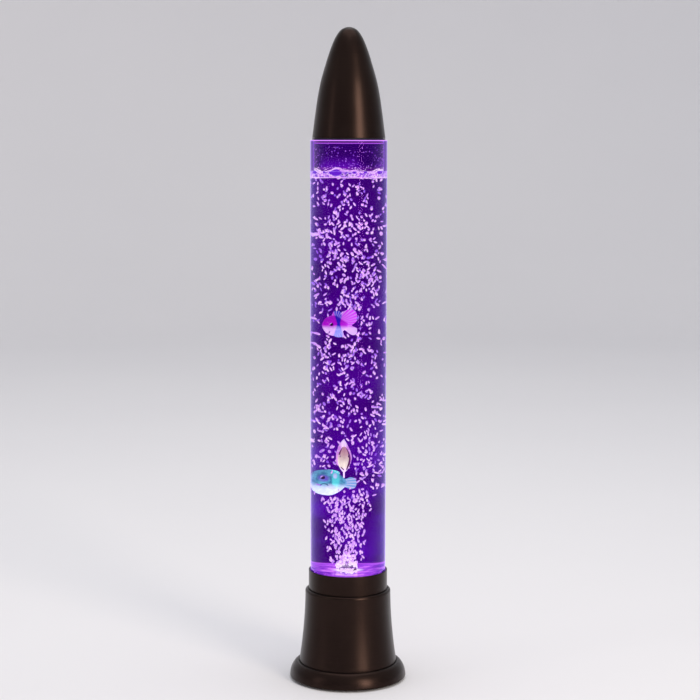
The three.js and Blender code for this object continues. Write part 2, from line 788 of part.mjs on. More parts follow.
// Rear fittings: each is made on a flat wall at y = 0, then leaned and moved onto the body's wall
const jackFlangeRadius = 7;
const jackFlangeProud = 1.6;
const jackBarrelRadius = 5;
const jackDepth = 13;
const socketRadius = 2.9;
const socketDepth = 9.5;
const socketPinRadius = 1;
const socketPinInset = 0.8;
const nutStandOff = 1;
const jackNutHeight = 2.4;
const jackNutCornerRadius = 7.4;

function wallLean(height) {
  const share = (height - ringTop) / bodyHeight;
  const slope = (bodyFlare * taperPower * (1 - share) ** (taperPower - 1)) / bodyHeight;
  return Math.atan(slope);
}

function onWall(geometry, height) {
  return geometry.rotateX(wallLean(height)).translate(0, bodyRadius(height), height);
}

// What a flange has to keep clear of: the body with a small gap round it.
function wallEnvelope() {
  return turned([
    [0, ringTop],
    ...bodyWallPoints(seatGap, ringTop, shoulderTop - shoulderRound),
    [0, shoulderTop - shoulderRound],
  ]);
}

// A round bar along Y, from one depth to another. Depths inside the wall are negative.
function inwardRod(radius, from, to, steps = smallSteps) {
  return facingBack(rod(radius, from, to, steps));
}

function makeJack() {
  const flange = onWall(inwardRod(jackFlangeRadius, -overrun, jackFlangeProud), jackHeight);
  const barrel = onWall(inwardRod(jackBarrelRadius, -jackDepth, jackFlangeProud / 2), jackHeight);
  const socket = onWall(inwardRod(socketRadius, -socketDepth, jackFlangeProud + overrun), jackHeight);
  const pinFoot = -socketDepth - edgeRound;
  const pin = onWall(inwardRod(socketPinRadius, pinFoot, -socketPinInset, fineSteps), jackHeight);
  const shell = cut(join(cut(flange, wallEnvelope()), barrel), socket);
  add("dc_jack", join(shell, pin), blackPlastic);
  const nutShape = hexagon(jackNutCornerRadius);
  nutShape.holes.push(roundHole(jackBarrelRadius + seatGap));
  const nutFront = -bodyWall - nutStandOff;
  const nut = facingBack(plate(nutShape, nutFront - jackNutHeight, nutFront));
  add("jack_nut", onWall(nut, jackHeight), brass);
}

// Colour button in its bezel, in front of a small push switch
const buttonRadius = 3;
const buttonProud = 1.4;
const buttonTravel = 0.8;
const buttonCollarRadius = 4;
const buttonCollarThickness = 1;
const bezelFlangeRadius = 6.5;
const bezelRadius = 5.2;
const bezelProud = 1;
const bezelNeck = 4;
const bezelDepth = 11;
const switchLength = 3.6;
const bezelChamberRadius = buttonCollarRadius + runGap;

function makeColourButton() {
  const flange = onWall(inwardRod(bezelFlangeRadius, -overrun, bezelProud), buttonHeight);
  const barrel = onWall(inwardRod(bezelRadius, -bezelDepth, bezelProud / 2), buttonHeight);
  const boreFrom = -bezelNeck - overrun;
  const bore = onWall(inwardRod(buttonRadius + runGap, boreFrom, bezelProud + overrun), buttonHeight);
  const chamber = onWall(inwardRod(bezelChamberRadius, -bezelDepth - overrun, -bezelNeck), buttonHeight);
  add("button_bezel", cut(join(cut(flange, wallEnvelope()), barrel), bore, chamber), blackPlastic);
  const collarFront = -bezelNeck - seatGap;
  const collarBack = collarFront - buttonCollarThickness;
  const button = facingBack(
    turned(
      [
        [0, collarBack],
        [buttonCollarRadius, collarBack],
        [buttonCollarRadius, collarFront],
        [buttonRadius, collarFront],
        [buttonRadius, buttonProud - edgeRound],
        [buttonRadius - edgeRound, buttonProud],
        [0, buttonProud],
      ],
      smallSteps,
    ),
  );
  add("colour_button", onWall(button, buttonHeight), greyPlastic);
  const switchFront = collarBack - buttonTravel - seatGap;
  const switchRadius = bezelChamberRadius - seatGap;
  const pushSwitch = inwardRod(switchRadius, switchFront - switchLength, switchFront);
  add("button_switch", onWall(pushSwitch, buttonHeight), greyPlastic);
}

// Power rocker in its frame
const rockerLength = 10.4;
const rockerWidth = 7.2;
const rockerTipProud = 2.3;
const rockerValleyProud = 1;
const rockerPivotDepth = 2.6;
const rockerWaist = 9.6;
const rockerHeelWidth = 5;
const rockerHeelDepth = 7;
const rockerLeanDegrees = 9;
const rockerLean = THREE.MathUtils.degToRad(rockerLeanDegrees);
const rockerPinRadius = 1.1;
const frameSideWall = 0.8;
const frameFlange = 1.5;
const frameDepth = 11;
const frameEndGap = 1.1;
const frameInnerWidth = rockerWidth + 2 * runGap;
const frameInnerLength = rockerLength + 2 * frameEndGap;
const frameOuterWidth = frameInnerWidth + 2 * frameSideWall;
const frameOuterLength = frameInnerLength + 2 * frameSideWall;
const flangeWidth = frameOuterWidth + 2 * frameFlange;
const flangeLength = frameOuterLength + 2 * frameFlange;

// Heights of the three rear fittings: the body's free height is shared out below and between them.
const rearSpaceShares = [0.3333, 0.0595, 0.0754];
const fittingsHeight = 2 * jackFlangeRadius + 2 * bezelFlangeRadius + flangeLength;
const [belowJack, belowButton, belowRocker] = rearSpaceShares.map(
  (share) => share * (bodyHeight - fittingsHeight),
);
const jackHeight = ringTop + belowJack + jackFlangeRadius;
const buttonHeight = jackHeight + jackFlangeRadius + belowButton + bezelFlangeRadius;
const rockerHeight = buttonHeight + bezelFlangeRadius + belowRocker + flangeLength / 2;

// A block on the wall: its width along X, its length up the wall, from one depth to another.
function inwardBlock(width, length, from, to) {
  return new THREE.BoxGeometry(width, to - from, length).translate(0, (from + to) / 2, 0);
}

// A pin across the rocker, along X at the pivot's depth.
function crossPin(radius, half) {
  return rod(radius, -half, half, fineSteps).rotateY(Math.PI / 2).translate(0, -rockerPivotDepth, 0);
}

function makeRockerFrame() {
  const flange = onWall(inwardBlock(flangeWidth, flangeLength, -overrun, bezelProud), rockerHeight);
  const shellTop = bezelProud / 2;
  const shell = onWall(inwardBlock(frameOuterWidth, frameOuterLength, -frameDepth, shellTop), rockerHeight);
  const hollow = onWall(
    inwardBlock(frameInnerWidth, frameInnerLength, frameSideWall - frameDepth, bezelProud + overrun),
    rockerHeight,
  );
  const pinHole = onWall(crossPin(rockerPinRadius + runGap, frameOuterWidth), rockerHeight);
  add("rocker_frame", cut(join(cut(flange, wallEnvelope()), shell), hollow, pinHole), blackPlastic);
}

function makeRocker() {
  const tip = rockerTipProud + rockerPivotDepth;
  const valley = rockerValleyProud + rockerPivotDepth;
  const heel = rockerPivotDepth - rockerHeelDepth;
  const shape = new THREE.Shape();
  shape.moveTo(-rockerLength / 2, tip);
  shape.lineTo(-rockerWaist / 2, 0);
  shape.lineTo(-rockerHeelWidth / 2, heel);
  shape.lineTo(rockerHeelWidth / 2, heel);
  shape.lineTo(rockerWaist / 2, 0);
  shape.lineTo(rockerLength / 2, tip);
  shape.quadraticCurveTo(0, 2 * valley - tip, -rockerLength / 2, tip);
  const paddle = plate(shape, -rockerWidth / 2, rockerWidth / 2);
  paddle.rotateZ(-Math.PI / 2).rotateY(-Math.PI / 2).rotateX(Math.PI / 2).rotateX(-rockerLean);
  const pinHalf = frameOuterWidth / 2 - edgeRound / 2;
  const pin = rod(rockerPinRadius, -pinHalf, pinHalf, fineSteps).rotateY(Math.PI / 2);
  const rocker = join(paddle, pin).translate(0, -rockerPivotDepth, 0);
  add("power_rocker", onWall(rocker, rockerHeight), blackPlastic);
}

function makeBaseBody() {
  const inside = -bodyWall - overrun;
  const jackHole = onWall(inwardRod(jackBarrelRadius + seatGap, inside, overrun), jackHeight);
  const buttonHole = onWall(inwardRod(bezelRadius + seatGap, inside, overrun), buttonHeight);
  const rockerHoleWidth = frameOuterWidth + 2 * seatGap;
  const rockerHoleLength = frameOuterLength + 2 * seatGap;
  const rockerHole = onWall(inwardBlock(rockerHoleWidth, rockerHoleLength, inside, overrun), rockerHeight);
  add("base_body", cut(makeBodyShell(), jackHole, buttonHole, rockerHole), gunmetal);
}

// Control board under the light tray's two posts, with its larger parts, and the wires to it
const controlWidth = 34;
const controlDepth = 20;
const controlTop = trayBottom - postDrop - seatGap;
const controlLow = controlTop - boardThickness;
const chipWidth = 8;
const chipHeight = 1.6;
const capacitorRadius = 3;
const capacitorHeight = 8;
const plugBlockWidth = 12;
const plugBlockHeight = 5;
const wireSides = 6;
const wireSteps = 10;

function makeControlBoard() {
  const board = block(controlWidth, controlDepth, boardThickness, 0, postBack, controlLow);
  const sink = edgeRound / 2;
  const chipPlace = [-chipWidth / 2, postBack - chipWidth / 2, controlLow - chipHeight];
  const chip = block(chipWidth, chipWidth, chipHeight + sink, ...chipPlace);
  const capacitorX = controlWidth / 2 - 2 * capacitorRadius;
  const capacitor = rod(capacitorRadius, controlLow - capacitorHeight, controlLow + sink, fineSteps);
  capacitor.translate(capacitorX, postBack + capacitorRadius, 0);
  const holderDepth = chipWidth / 2;
  const holderY = postBack - controlDepth / 2 + holderDepth / 2;
  const holderLow = controlLow - plugBlockHeight;
  const holder = block(plugBlockWidth, holderDepth, plugBlockHeight + sink, chipWidth, holderY, holderLow);
  add("control_board", join(board, chip, capacitor, holder), boardGreen);
}

// A wire rises straight first where it has to, and swings over to its place under the board.
const wireRiseShares = [0, 0.12, 0.45, 0.8, 1];
const wireSwingShares = [0, 0.35, 0.85, 1, 1];

function wireTo(name, start, end, straight = 0) {
  const [startX, startY, startZ] = start;
  const swingZ = startZ + straight;
  const points = wireRiseShares.map((share, i) => {
    const x = startX + wireSwingShares[i] * (end[0] - startX);
    const y = startY + wireSwingShares[i] * (end[1] - startY);
    return [x, y, swingZ + share * (end[2] - swingZ)];
  });
  if (straight > 0) points.unshift(start, [startX, startY, startZ + straight / 2]);
  add(name, alongPath(points, wireRadius, 0, wireSteps, wireSides), rubber);
}

const jackWireX = 4;
const buttonWireX = -11;
const rockerWireX = -5;
const wireLandingY = 22.5;
const pumpWireLandingX = 14.5;
const wireSpread = 1.6;

// The point on the lamp's rear meridian at a depth inside the wall.
function insideWall(height, depth) {
  const lean = wallLean(height);
  return [bodyRadius(height) - depth * Math.cos(lean), height - depth * Math.sin(lean)];
}

function makeWires() {
  const landing = controlLow - seatGap;
  const [jackY, jackZ] = insideWall(jackHeight, jackDepth + wireRadius + seatGap);
  wireTo("jack_wire", [0, jackY, jackZ], [jackWireX, wireLandingY, landing]);
  const [buttonY, buttonZ] = insideWall(buttonHeight, bezelDepth + wireRadius + seatGap + wireSpread);
  wireTo("button_wire", [-wireSpread, buttonY, buttonZ], [buttonWireX, wireLandingY, landing]);
  const [rockerY, rockerZ] = insideWall(rockerHeight, frameDepth + wireRadius + seatGap);
  wireTo("rocker_wire", [-wireSpread, rockerY, rockerZ], [rockerWireX, wireLandingY, landing]);
  const coilTop = armLevel + coreMiddleLeg / 2 + coilWall;
  const pumpWireLow = coilTop + seatGap;
  const pumpWireStraight = coverTop + wireRadius - pumpWireLow;
  const pumpWireEnd = [pumpWireLandingX, wireLandingY, landing];
  wireTo("pump_wire", [pumpWireX, pumpWireY, pumpWireLow], pumpWireEnd, pumpWireStraight);
  const ledWireLow = controlTop + seatGap;
  const ledWire = rod(wireRadius, ledWireLow, boardBottom - seatGap, wireSides);
  add("led_wire", ledWire.translate(ledWireX, ledWireY, 0), rubber);
}

// Fish: a plump body of turned outline with a tail and fins of one thickness, nose towards -X
const finThickness = 1.4;
const fishSteps = 12;
const fishLengthShares = [0, 0.05, 0.18, 0.38, 0.58, 0.8, 1];
const fishRadiusShares = [0, 0.26, 0.7, 1, 0.92, 0.5, 0.24];

// Places on a fin's outline, as shares of the body's length and height or of the fin's own size
const tailRootShare = 0.93;
const tailNeckShare = 0.1;
const tailCurveShare = 0.5;
const tailForkShare = 0.35;
const ridgeStartShare = 0.28;
const ridgeEndShare = 0.86;
const ridgeSinkShare = 0.2;
const ridgePeakShare = 0.8;
const ridgeCurveShare = 0.3;
const sideLengthShare = 0.3;
const sideHeightShare = 0.28;
const sideSagShare = 1.6;
const sideLowCurveShare = 0.7;
const sideHighCurveShare = 0.9;
const sidePlaceShares = [0.36, 0.4, 0.12];
const sideFinSpread = 0.45;

function fishBody(plan) {
  const outline = fishLengthShares.map((share, i) => [
    (fishRadiusShares[i] * plan.bodyHeight) / 2,
    share * plan.bodyLength,
  ]);
  outline.push([0, plan.bodyLength]);
  const body = turned(outline, fishSteps).rotateY(Math.PI / 2);
  return body.scale(1, plan.bodyThickness / plan.bodyHeight, 1);
}

// A fin of an outline in the XZ plane, centred on the fish's middle plane.
function fin(shape) {
  return plate(shape, -finThickness / 2, finThickness / 2, finCurveSteps).rotateX(Math.PI / 2);
}

function tailFin(plan) {
  const root = plan.bodyLength * tailRootShare;
  const end = plan.bodyLength + plan.tailLength;
  const curveX = root + plan.tailLength * tailCurveShare;
  const half = plan.tailHeight / 2;
  const neck = plan.bodyHeight * tailNeckShare;
  const shape = new THREE.Shape();
  shape.moveTo(root, -neck);
  shape.quadraticCurveTo(curveX, -half, end, -half);
  shape.quadraticCurveTo(end - plan.tailLength * tailForkShare, 0, end, half);
  shape.quadraticCurveTo(curveX, half, root, neck);
  shape.closePath();
  return fin(shape);
}

// A fin that stands up from the body's ridge or down from its keel, by the sign of its height.
function ridgeFin(plan, height, side) {
  const from = plan.bodyLength * ridgeStartShare;
  const to = plan.bodyLength * ridgeEndShare;
  const base = side * plan.bodyHeight * ridgeSinkShare;
  const peak = side * (plan.bodyHeight / 2 + height);
  const peakX = from + (to - from) * ridgePeakShare;
  const shape = new THREE.Shape();
  shape.moveTo(from, base);
  shape.quadraticCurveTo(from + (to - from) * ridgeCurveShare, peak, peakX, peak);
  shape.quadraticCurveTo(to, peak * ridgePeakShare, to, base);
  shape.closePath();
  return fin(shape);
}

// The two small side fins, leaning out from the body.
function sideFins(plan) {
  const length = plan.bodyLength * sideLengthShare;
  const half = length * sideHeightShare;
  const shape = new THREE.Shape();
  shape.moveTo(0, -half / 2);
  shape.quadraticCurveTo(length * sideLowCurveShare, -half * sideSagShare, length, -half);
  shape.quadraticCurveTo(length * sideHighCurveShare, half, 0, half / 2);
  shape.closePath();
  const [alongShare, outShare, downShare] = sidePlaceShares;
  const x = plan.bodyLength * alongShare;
  const y = plan.bodyThickness * outShare;
  const z = -plan.bodyHeight * downShare;
  return [-1, 1].map((side) =>
    fin(shape)
      .rotateZ(side * sideFinSpread)
      .translate(x, side * y, z),
  );
}

// A fish's place has two shares of the tube's inner radius, for its nose, and one of the tube's length.
const fishPlans = [
  {
    name: "fish_pink",
    look: finish(0xc83ad8, 0.4, 0),
    bodyLength: 18,
    bodyHeight: 17,
    bodyThickness: 9,
    tailLength: 8,
    tailHeight: 20,
    dorsalHeight: 5.5,
    keelHeight: 4,
    placeShares: [-0.6094, -0.125, 0.5598],
    heading: 0,
  },
  {
    name: "fish_teal",
    look: finish(0x49b6b8, 0.4, 0),
    bodyLength: 24,
    bodyHeight: 18,
    bodyThickness: 9,
    tailLength: 8,
    tailHeight: 15,
    dorsalHeight: 3,
    keelHeight: 3.5,
    placeShares: [-0.8125, 0.2656, 0.1986],
    heading: 0,
  },
  {
    name: "fish_orange",
    look: finish(0xf0b27a, 0.4, 0),
    bodyLength: 23,
    bodyHeight: 24,
    bodyThickness: 9,
    tailLength: 7,
    tailHeight: 15,
    dorsalHeight: 6.2,
    keelHeight: 6.2,
    placeShares: [-0.125, -0.8906, 0.2605],
    heading: Math.PI / 2,
  },
];

function makeFish(plan) {
  const fins = [
    tailFin(plan),
    ridgeFin(plan, plan.dorsalHeight, 1),
    ridgeFin(plan, plan.keelHeight, -1),
    ...sideFins(plan),
  ];
  const fish = add(plan.name, join(fishBody(plan), ...fins), plan.look);
  const [noseShare, sideShare, riseShare] = plan.placeShares;
  fish.rotation.z = plan.heading;
  fish.position.set(
    noseShare * tubeInnerRadius,
    sideShare * tubeInnerRadius,
    floorTop + riseShare * tubeLength,
  );
}

makeCapShell();
makeCapPlug();
makeTube();
makeCollar();
makeBaseBody();
makeFootRing();
makeBottomPlate();
makeLightTray();
makeLeds();
makeNozzle();
makePumpShell();
makePumpCover();
makeCoreAndCoil();
makeValveBox();
makeSwingArm();
makeCheckValve();
makeLowerHose();
makeUpperHose();
makeJack();
makeColourButton();
makeRockerFrame();
makeRocker();
makeControlBoard();
makeWires();
fishPlans.forEach(makeFish);

export default lamp;
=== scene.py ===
# %% [markdown]
# # A water lamp with rising bubbles
# The lamp is a clear tube of water on a flared metal base, under a bullet-shaped metal cap.
# Lights in the base shine up through the water. Air bubbles catch the light
# and push three plastic fish about.
# The CAD model is loaded first and stays as it is. Each cell then makes one visible piece or one finish.

# %% Load the model
import json
import math
import random

import bmesh
import bpy
from mathutils import Euler, Matrix, Vector


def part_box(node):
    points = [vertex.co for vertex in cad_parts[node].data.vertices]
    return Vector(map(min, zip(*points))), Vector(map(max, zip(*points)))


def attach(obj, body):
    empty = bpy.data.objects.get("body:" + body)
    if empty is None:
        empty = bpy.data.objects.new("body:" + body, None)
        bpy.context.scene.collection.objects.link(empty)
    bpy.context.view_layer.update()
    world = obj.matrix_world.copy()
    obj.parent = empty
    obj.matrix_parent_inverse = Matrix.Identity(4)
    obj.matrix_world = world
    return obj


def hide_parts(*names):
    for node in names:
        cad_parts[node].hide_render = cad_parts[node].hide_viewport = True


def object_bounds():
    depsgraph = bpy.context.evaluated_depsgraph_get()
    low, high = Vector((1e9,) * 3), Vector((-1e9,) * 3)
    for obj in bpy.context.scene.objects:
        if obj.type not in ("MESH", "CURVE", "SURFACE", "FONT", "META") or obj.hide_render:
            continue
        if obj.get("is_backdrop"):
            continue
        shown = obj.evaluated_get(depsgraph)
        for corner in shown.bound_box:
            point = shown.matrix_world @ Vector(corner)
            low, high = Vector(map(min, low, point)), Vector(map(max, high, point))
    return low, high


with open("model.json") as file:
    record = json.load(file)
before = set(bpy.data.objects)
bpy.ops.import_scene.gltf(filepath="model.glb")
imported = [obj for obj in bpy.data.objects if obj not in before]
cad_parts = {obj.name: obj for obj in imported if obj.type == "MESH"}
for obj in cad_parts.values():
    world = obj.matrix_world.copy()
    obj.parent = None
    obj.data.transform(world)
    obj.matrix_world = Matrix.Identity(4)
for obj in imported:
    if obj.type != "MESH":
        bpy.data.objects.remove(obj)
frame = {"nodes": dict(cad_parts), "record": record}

scene = bpy.context.scene
cad_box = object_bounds()
print("The CAD box:", [tuple(round(value, 4) for value in corner) for corner in cad_box])

# %% [markdown]
# The photograph was taken from a little above the middle of the lamp, a long way off with a long lens.
# A camera could be placed by eye, but here its height and its tilt follow from two facts of the picture:
# the line where round edges look flat is at the height of the eye, and the lamp fills most of the height.

# %% Camera
EYE_HEIGHT = 0.503
EYE_DISTANCE = 1.680
EYE_ASIDE = 0.0011
TILT_DOWN = math.radians(8.2)
ROLL = math.radians(-0.12)
LENS = 94.06
SHIFT_UP = 0.0766

camera_data = bpy.data.cameras.new("camera")
camera_data.lens = LENS
camera_data.shift_y = SHIFT_UP
camera = bpy.data.objects.new("camera", camera_data)
camera.location = (EYE_ASIDE, -EYE_DISTANCE, EYE_HEIGHT)
camera.rotation_euler = Euler((math.pi / 2 - TILT_DOWN, ROLL, 0), "XYZ")
scene.collection.objects.link(camera)
scene.camera = camera
scene.view_settings.view_transform = "Standard"
print("Camera at", tuple(camera.location))

# %% [markdown]
# A shader is a small network of nodes. Each node could be placed and linked by hand,
# but a recipe reads better as arithmetic. So a wire here is one output of a node,
# and sums, products, ramps and mixes of wires add the nodes that work them out.


# %% Wires between shader nodes
class Wire:
    """One output of a shader node. A mask is a wire whose values go from 0 to 1."""

    def __init__(self, tree, socket):
        self.tree = tree
        self.socket = socket

    def step(self, operation, *others):
        return place(self.tree, "Math", dict(enumerate([self, *others])), operation=operation)

    def __add__(self, other):
        return self.step("ADD", other)

    def __sub__(self, other):
        return self.step("SUBTRACT", other)

    def __mul__(self, other):
        return self.step("MULTIPLY", other)

    def __truediv__(self, other):
        return self.step("DIVIDE", other)

    def __pow__(self, other):
        return self.step("POWER", other)

    def larger(self, other):
        return self.step("MAXIMUM", other)

    def root(self):
        return self.step("SQRT")

    def clamped(self):
        """Keeps the last sum or product between 0 and 1."""
        self.socket.node.use_clamp = True
        return self

    def away(self, centre):
        """Distance of the value from a centre."""
        return (self - centre).step("ABSOLUTE")

    def ramp(self, zero, one):
        """A smooth mask: 0 at the first value and beyond it, 1 at the second and beyond it."""
        ends = {"Value": self, "From Min": zero, "From Max": one}
        return place(self.tree, "MapRange", ends, interpolation_type="SMOOTHSTEP")

    def mix(self, first, second):
        """The first colour where this mask is 0, the second where it is 1."""
        colours = {"Factor": self, 6: first, 7: second}
        return place(self.tree, "Mix", colours, 2, data_type="RGBA")


def fill(socket, value):
    """Gives an input a plain value, or links a wire to it."""
    if isinstance(value, Wire):
        value.tree.links.new(value.socket, socket)
    else:
        socket.default_value = value


def place(tree, kind, inputs=None, output=0, **settings):
    """Adds a shader node and returns one of its outputs. Inputs go by name or number, settings by name."""
    made = tree.nodes.new("ShaderNode" + kind)
    for name, value in settings.items():
        setattr(made, name, value)
    for name, value in (inputs or {}).items():
        fill(made.inputs[name], value)
    return Wire(tree, made.outputs[output])


print("Wires are ready")

# %% [markdown]
# A few more helpers start a material, set its Principled shader, and start or use a shared group of nodes.
# Others give what most recipes begin with: the place on the object, its height, noise, and a bump.


# %% Helpers for materials
BLACK, WHITE = (0, 0, 0, 1), (1, 1, 1, 1)


def dress(material, **looks):
    """Sets inputs of the Principled shader, with _ for a space in their names, to plain values or wires."""
    shader = material.node_tree.nodes["Principled BSDF"]
    for name, value in looks.items():
        fill(shader.inputs[name.replace("_", " ")], value)
    return material


def start_material(name, **plain):
    """A material with plain values in its Principled shader, and its tree of nodes."""
    material = bpy.data.materials.new(name)
    material.use_nodes = True
    return dress(material, **plain), material.node_tree


def start_group(name, inputs, outputs):
    """A shared node group. Inputs and outputs are given as names with their kinds."""
    group = bpy.data.node_groups.new(name, "ShaderNodeTree")
    for way, sockets in (("INPUT", inputs), ("OUTPUT", outputs)):
        for label, kind in sockets.items():
            group.interface.new_socket(name=label, in_out=way, socket_type="NodeSocket" + kind)
    entry = group.nodes.new("NodeGroupInput")
    leave = group.nodes.new("NodeGroupOutput")
    return group, {label: Wire(group, entry.outputs[label]) for label in inputs}, leave.inputs


def use_group(tree, group, **inputs):
    made = tree.nodes.new("ShaderNodeGroup")
    made.node_tree = group
    for name, value in inputs.items():
        fill(made.inputs[name], value)
    return {socket.name: Wire(tree, socket) for socket in made.outputs}


def rgb(red, green, blue):
    """A colour written as it looks on a screen, from 0 to 255, as the linear values a shader wants."""
    shares = [value / 255 for value in (red, green, blue)]
    linear = [share / 12.92 if share <= 0.04045 else ((share + 0.055) / 1.055) ** 2.4 for share in shares]
    return (*linear, 1.0)


def object_place(tree):
    return place(tree, "TexCoord", output="Object")


def split(vector):
    """The three parts of a vector."""
    node = place(vector.tree, "SeparateXYZ", {"Vector": vector}).socket.node
    return [Wire(vector.tree, socket) for socket in node.outputs]


def noise_of(where, scale, detail=2.0, **more):
    """Random clouds with values round 0.5. A larger scale makes smaller clouds."""
    return place(where.tree, "TexNoise", {"Vector": where, "Scale": scale, "Detail": detail, **more}, "Fac")


def own_brightness(tree):
    """The brightness that each bubble was given when it was made."""
    return place(tree, "Attribute", output="Fac", attribute_name="brightness")


def bump(height, strength, distance):
    """The tilt that a height map gives to the surface."""
    depths = {"Strength": strength, "Distance": distance, "Height": height}
    return place(height.tree, "Bump", depths, "Normal")


def height_band(height, low, high, soft=0.0004):
    """A mask that is 1 between two heights in metres and fades over a soft edge."""
    return height.ramp(low - soft, low + soft) * height.ramp(high + soft, high - soft)


print("Material helpers are ready")

# %% [markdown]
# Most of the lamp is turned or spun round one axis, so one helper serves nearly all of it.
# An outline is drawn as a few joined vertices, its corners are rounded with the bevel operator,
# and the spin operator sweeps it round the axis. Sizes are in millimetres here, and metres in the mesh.

# %% Helpers for shapes
MM = 0.001
QUARTER_TURN, FULL_TURN = math.pi / 2, 2 * math.pi
MERGE_DISTANCE = 0.000002
FULL_WEAR_ANGLE = 0.6
ALL_SMOOTH = 180


def smooth_through(points, steps):
    """More points along a smooth line through the given ones."""
    line = []
    last = len(points) - 1
    for number in range(steps + 1):
        along = number / steps * last
        k = min(int(along), last - 1)
        t = along - k
        four = points[max(k - 1, 0)], points[k], points[k + 1], points[min(k + 2, last)]
        line.append(tuple(
            0.5 * (2 * q + (r - p) * t + (2 * p - 5 * q + 4 * r - s) * t * t
                   + (3 * q - p - 3 * r + s) * t ** 3)
            for p, q, r, s in zip(*four)
        ))
    return line


def soften(shape, geom, radius, affect="EDGES", segments=3):
    """Rounds corners or edges with a radius in millimetres."""
    bmesh.ops.bevel(shape, geom=geom, offset=radius * MM, offset_type="OFFSET", segments=segments,
                    profile=0.5, affect=affect, material=-1)


def turned(outline, rounds=(), steps=128):
    """Spins an outline of (radius, height) in millimetres. rounds lists corner numbers and a radius.

    An outline from axis to axis closes itself, and any other is joined into a ring.
    """
    shape = bmesh.new()
    corners = [shape.verts.new((radius * MM, 0, height * MM)) for radius, height in outline]
    pairs = list(zip(corners, corners[1:]))
    if outline[0][0] > 0:
        pairs.append((corners[-1], corners[0]))
    for pair in pairs:
        shape.edges.new(pair)
    for numbers, radius in rounds:
        soften(shape, [corners[n] for n in numbers], radius, "VERTICES")
    bmesh.ops.spin(shape, geom=shape.verts[:] + shape.edges[:], cent=(0, 0, 0), axis=(0, 0, 1),
                   angle=FULL_TURN, steps=steps, use_merge=True)
    bmesh.ops.remove_doubles(shape, verts=shape.verts, dist=MERGE_DISTANCE)
    bmesh.ops.recalc_face_normals(shape, faces=shape.faces)
    return shape


def block(width, depth, low, high):
    """A block round the Z axis, from one height to another, in millimetres."""
    shape = bmesh.new()
    bmesh.ops.create_cube(shape, size=1)
    return moved(shape, shift(0, 0, (low + high) / 2) @ sized(width, depth, high - low))


def plate(outline, thickness, edge, sharpest, segments):
    """An outline of (x, z) in millimetres, extruded along Y. Edges sharper than an angle are rounded."""
    shape = bmesh.new()
    side = [shape.verts.new((x * MM, -thickness / 2 * MM, z * MM)) for x, z in outline]
    grown = bmesh.ops.extrude_face_region(shape, geom=[shape.faces.new(side)])
    corners = [part for part in grown["geom"] if isinstance(part, bmesh.types.BMVert)]
    bmesh.ops.translate(shape, vec=(0, thickness * MM, 0), verts=corners)
    bmesh.ops.recalc_face_normals(shape, faces=shape.faces)
    soften(shape, [rim for rim in shape.edges if rim.calc_face_angle(0) > sharpest], edge, segments=segments)
    return shape


def shift(x, y, z):
    """A move by millimetres."""
    return Matrix.Translation(Vector((x, y, z)) * MM)


def turn(angle, axis):
    return Matrix.Rotation(angle, 4, axis)


def sized(x, y, z):
    """Makes millimetres of a shape's units."""
    return Matrix.Diagonal((x * MM, y * MM, z * MM, 1))


def moved(shape, matrix):
    bmesh.ops.transform(shape, matrix=matrix, verts=shape.verts)
    return shape


def join_shapes(first, *others):
    for other in others:
        mesh = bpy.data.meshes.new("part")
        other.to_mesh(mesh)
        other.free()
        first.from_mesh(mesh)
        bpy.data.meshes.remove(mesh)
    return first


print("Shape helpers are ready")

# %% [markdown]
# A finished shape becomes an object at the origin, rides on one body of the model and can replace a CAD node.
# How sharply it turns at each vertex is stored in it, because edges that stick out wear first.


# %% Helpers for pieces
def mark_edges(shape):
    """Stores how sharply the surface turns outwards at each vertex, for wear along edges."""
    shape.normal_update()
    layer = shape.verts.layers.float.new("edge_wear")
    for vertex in shape.verts:
        turns = [edge.calc_face_angle_signed(0.0) for edge in vertex.link_edges]
        vertex[layer] = min(max(max(turns, default=0.0), 0.0) / FULL_WEAR_ANGLE, 1.0)


def mesh_object(name, shape):
    mesh = bpy.data.meshes.new(name)
    shape.to_mesh(mesh)
    shape.free()
    made = bpy.data.objects.new(name, mesh)
    scene.collection.objects.link(made)
    return made


def keep(shape, name, body, slot, replaced=None, material=None, sharp=35):
    """Turns a shape into a piece of the lamp that rides on a body, smooth up to an angle in degrees.

    Normals weighted by face area keep long flat faces flat next to small rounded edges, which glass
    needs most. Where no material is given, the piece gets the finish of its slot.
    """
    mark_edges(shape)
    piece = mesh_object(name, shape)
    piece.data.materials.append(material or FINISHES[slot])
    piece.data.shade_smooth()
    piece.data.set_sharp_from_angle(angle=math.radians(sharp))
    if sharp < ALL_SMOOTH:
        piece.modifiers.new("weighted_normals", "WEIGHTED_NORMAL").keep_sharp = True
    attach(piece, body)
    if replaced:
        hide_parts(replaced)
    print(piece.name, "has", len(piece.data.polygons), "faces")


print("Piece helpers are ready")

# %% [markdown]
# The studio is a pale floor that curves up into a wall all the way round, as in a photographer's cove.
# It could be a plain plane and a white world, but then a hard line would show where they meet,
# and the metal would have nothing behind it to mirror.


# %% Studio floor and wall
def paint_cove():
    material, tree = start_material("cove_paint", Roughness=0.85)
    clouds = noise_of(object_place(tree), 1.3, 3.0)
    return dress(material, Base_Color=clouds.mix(rgb(232, 231, 234), rgb(238, 237, 239)))


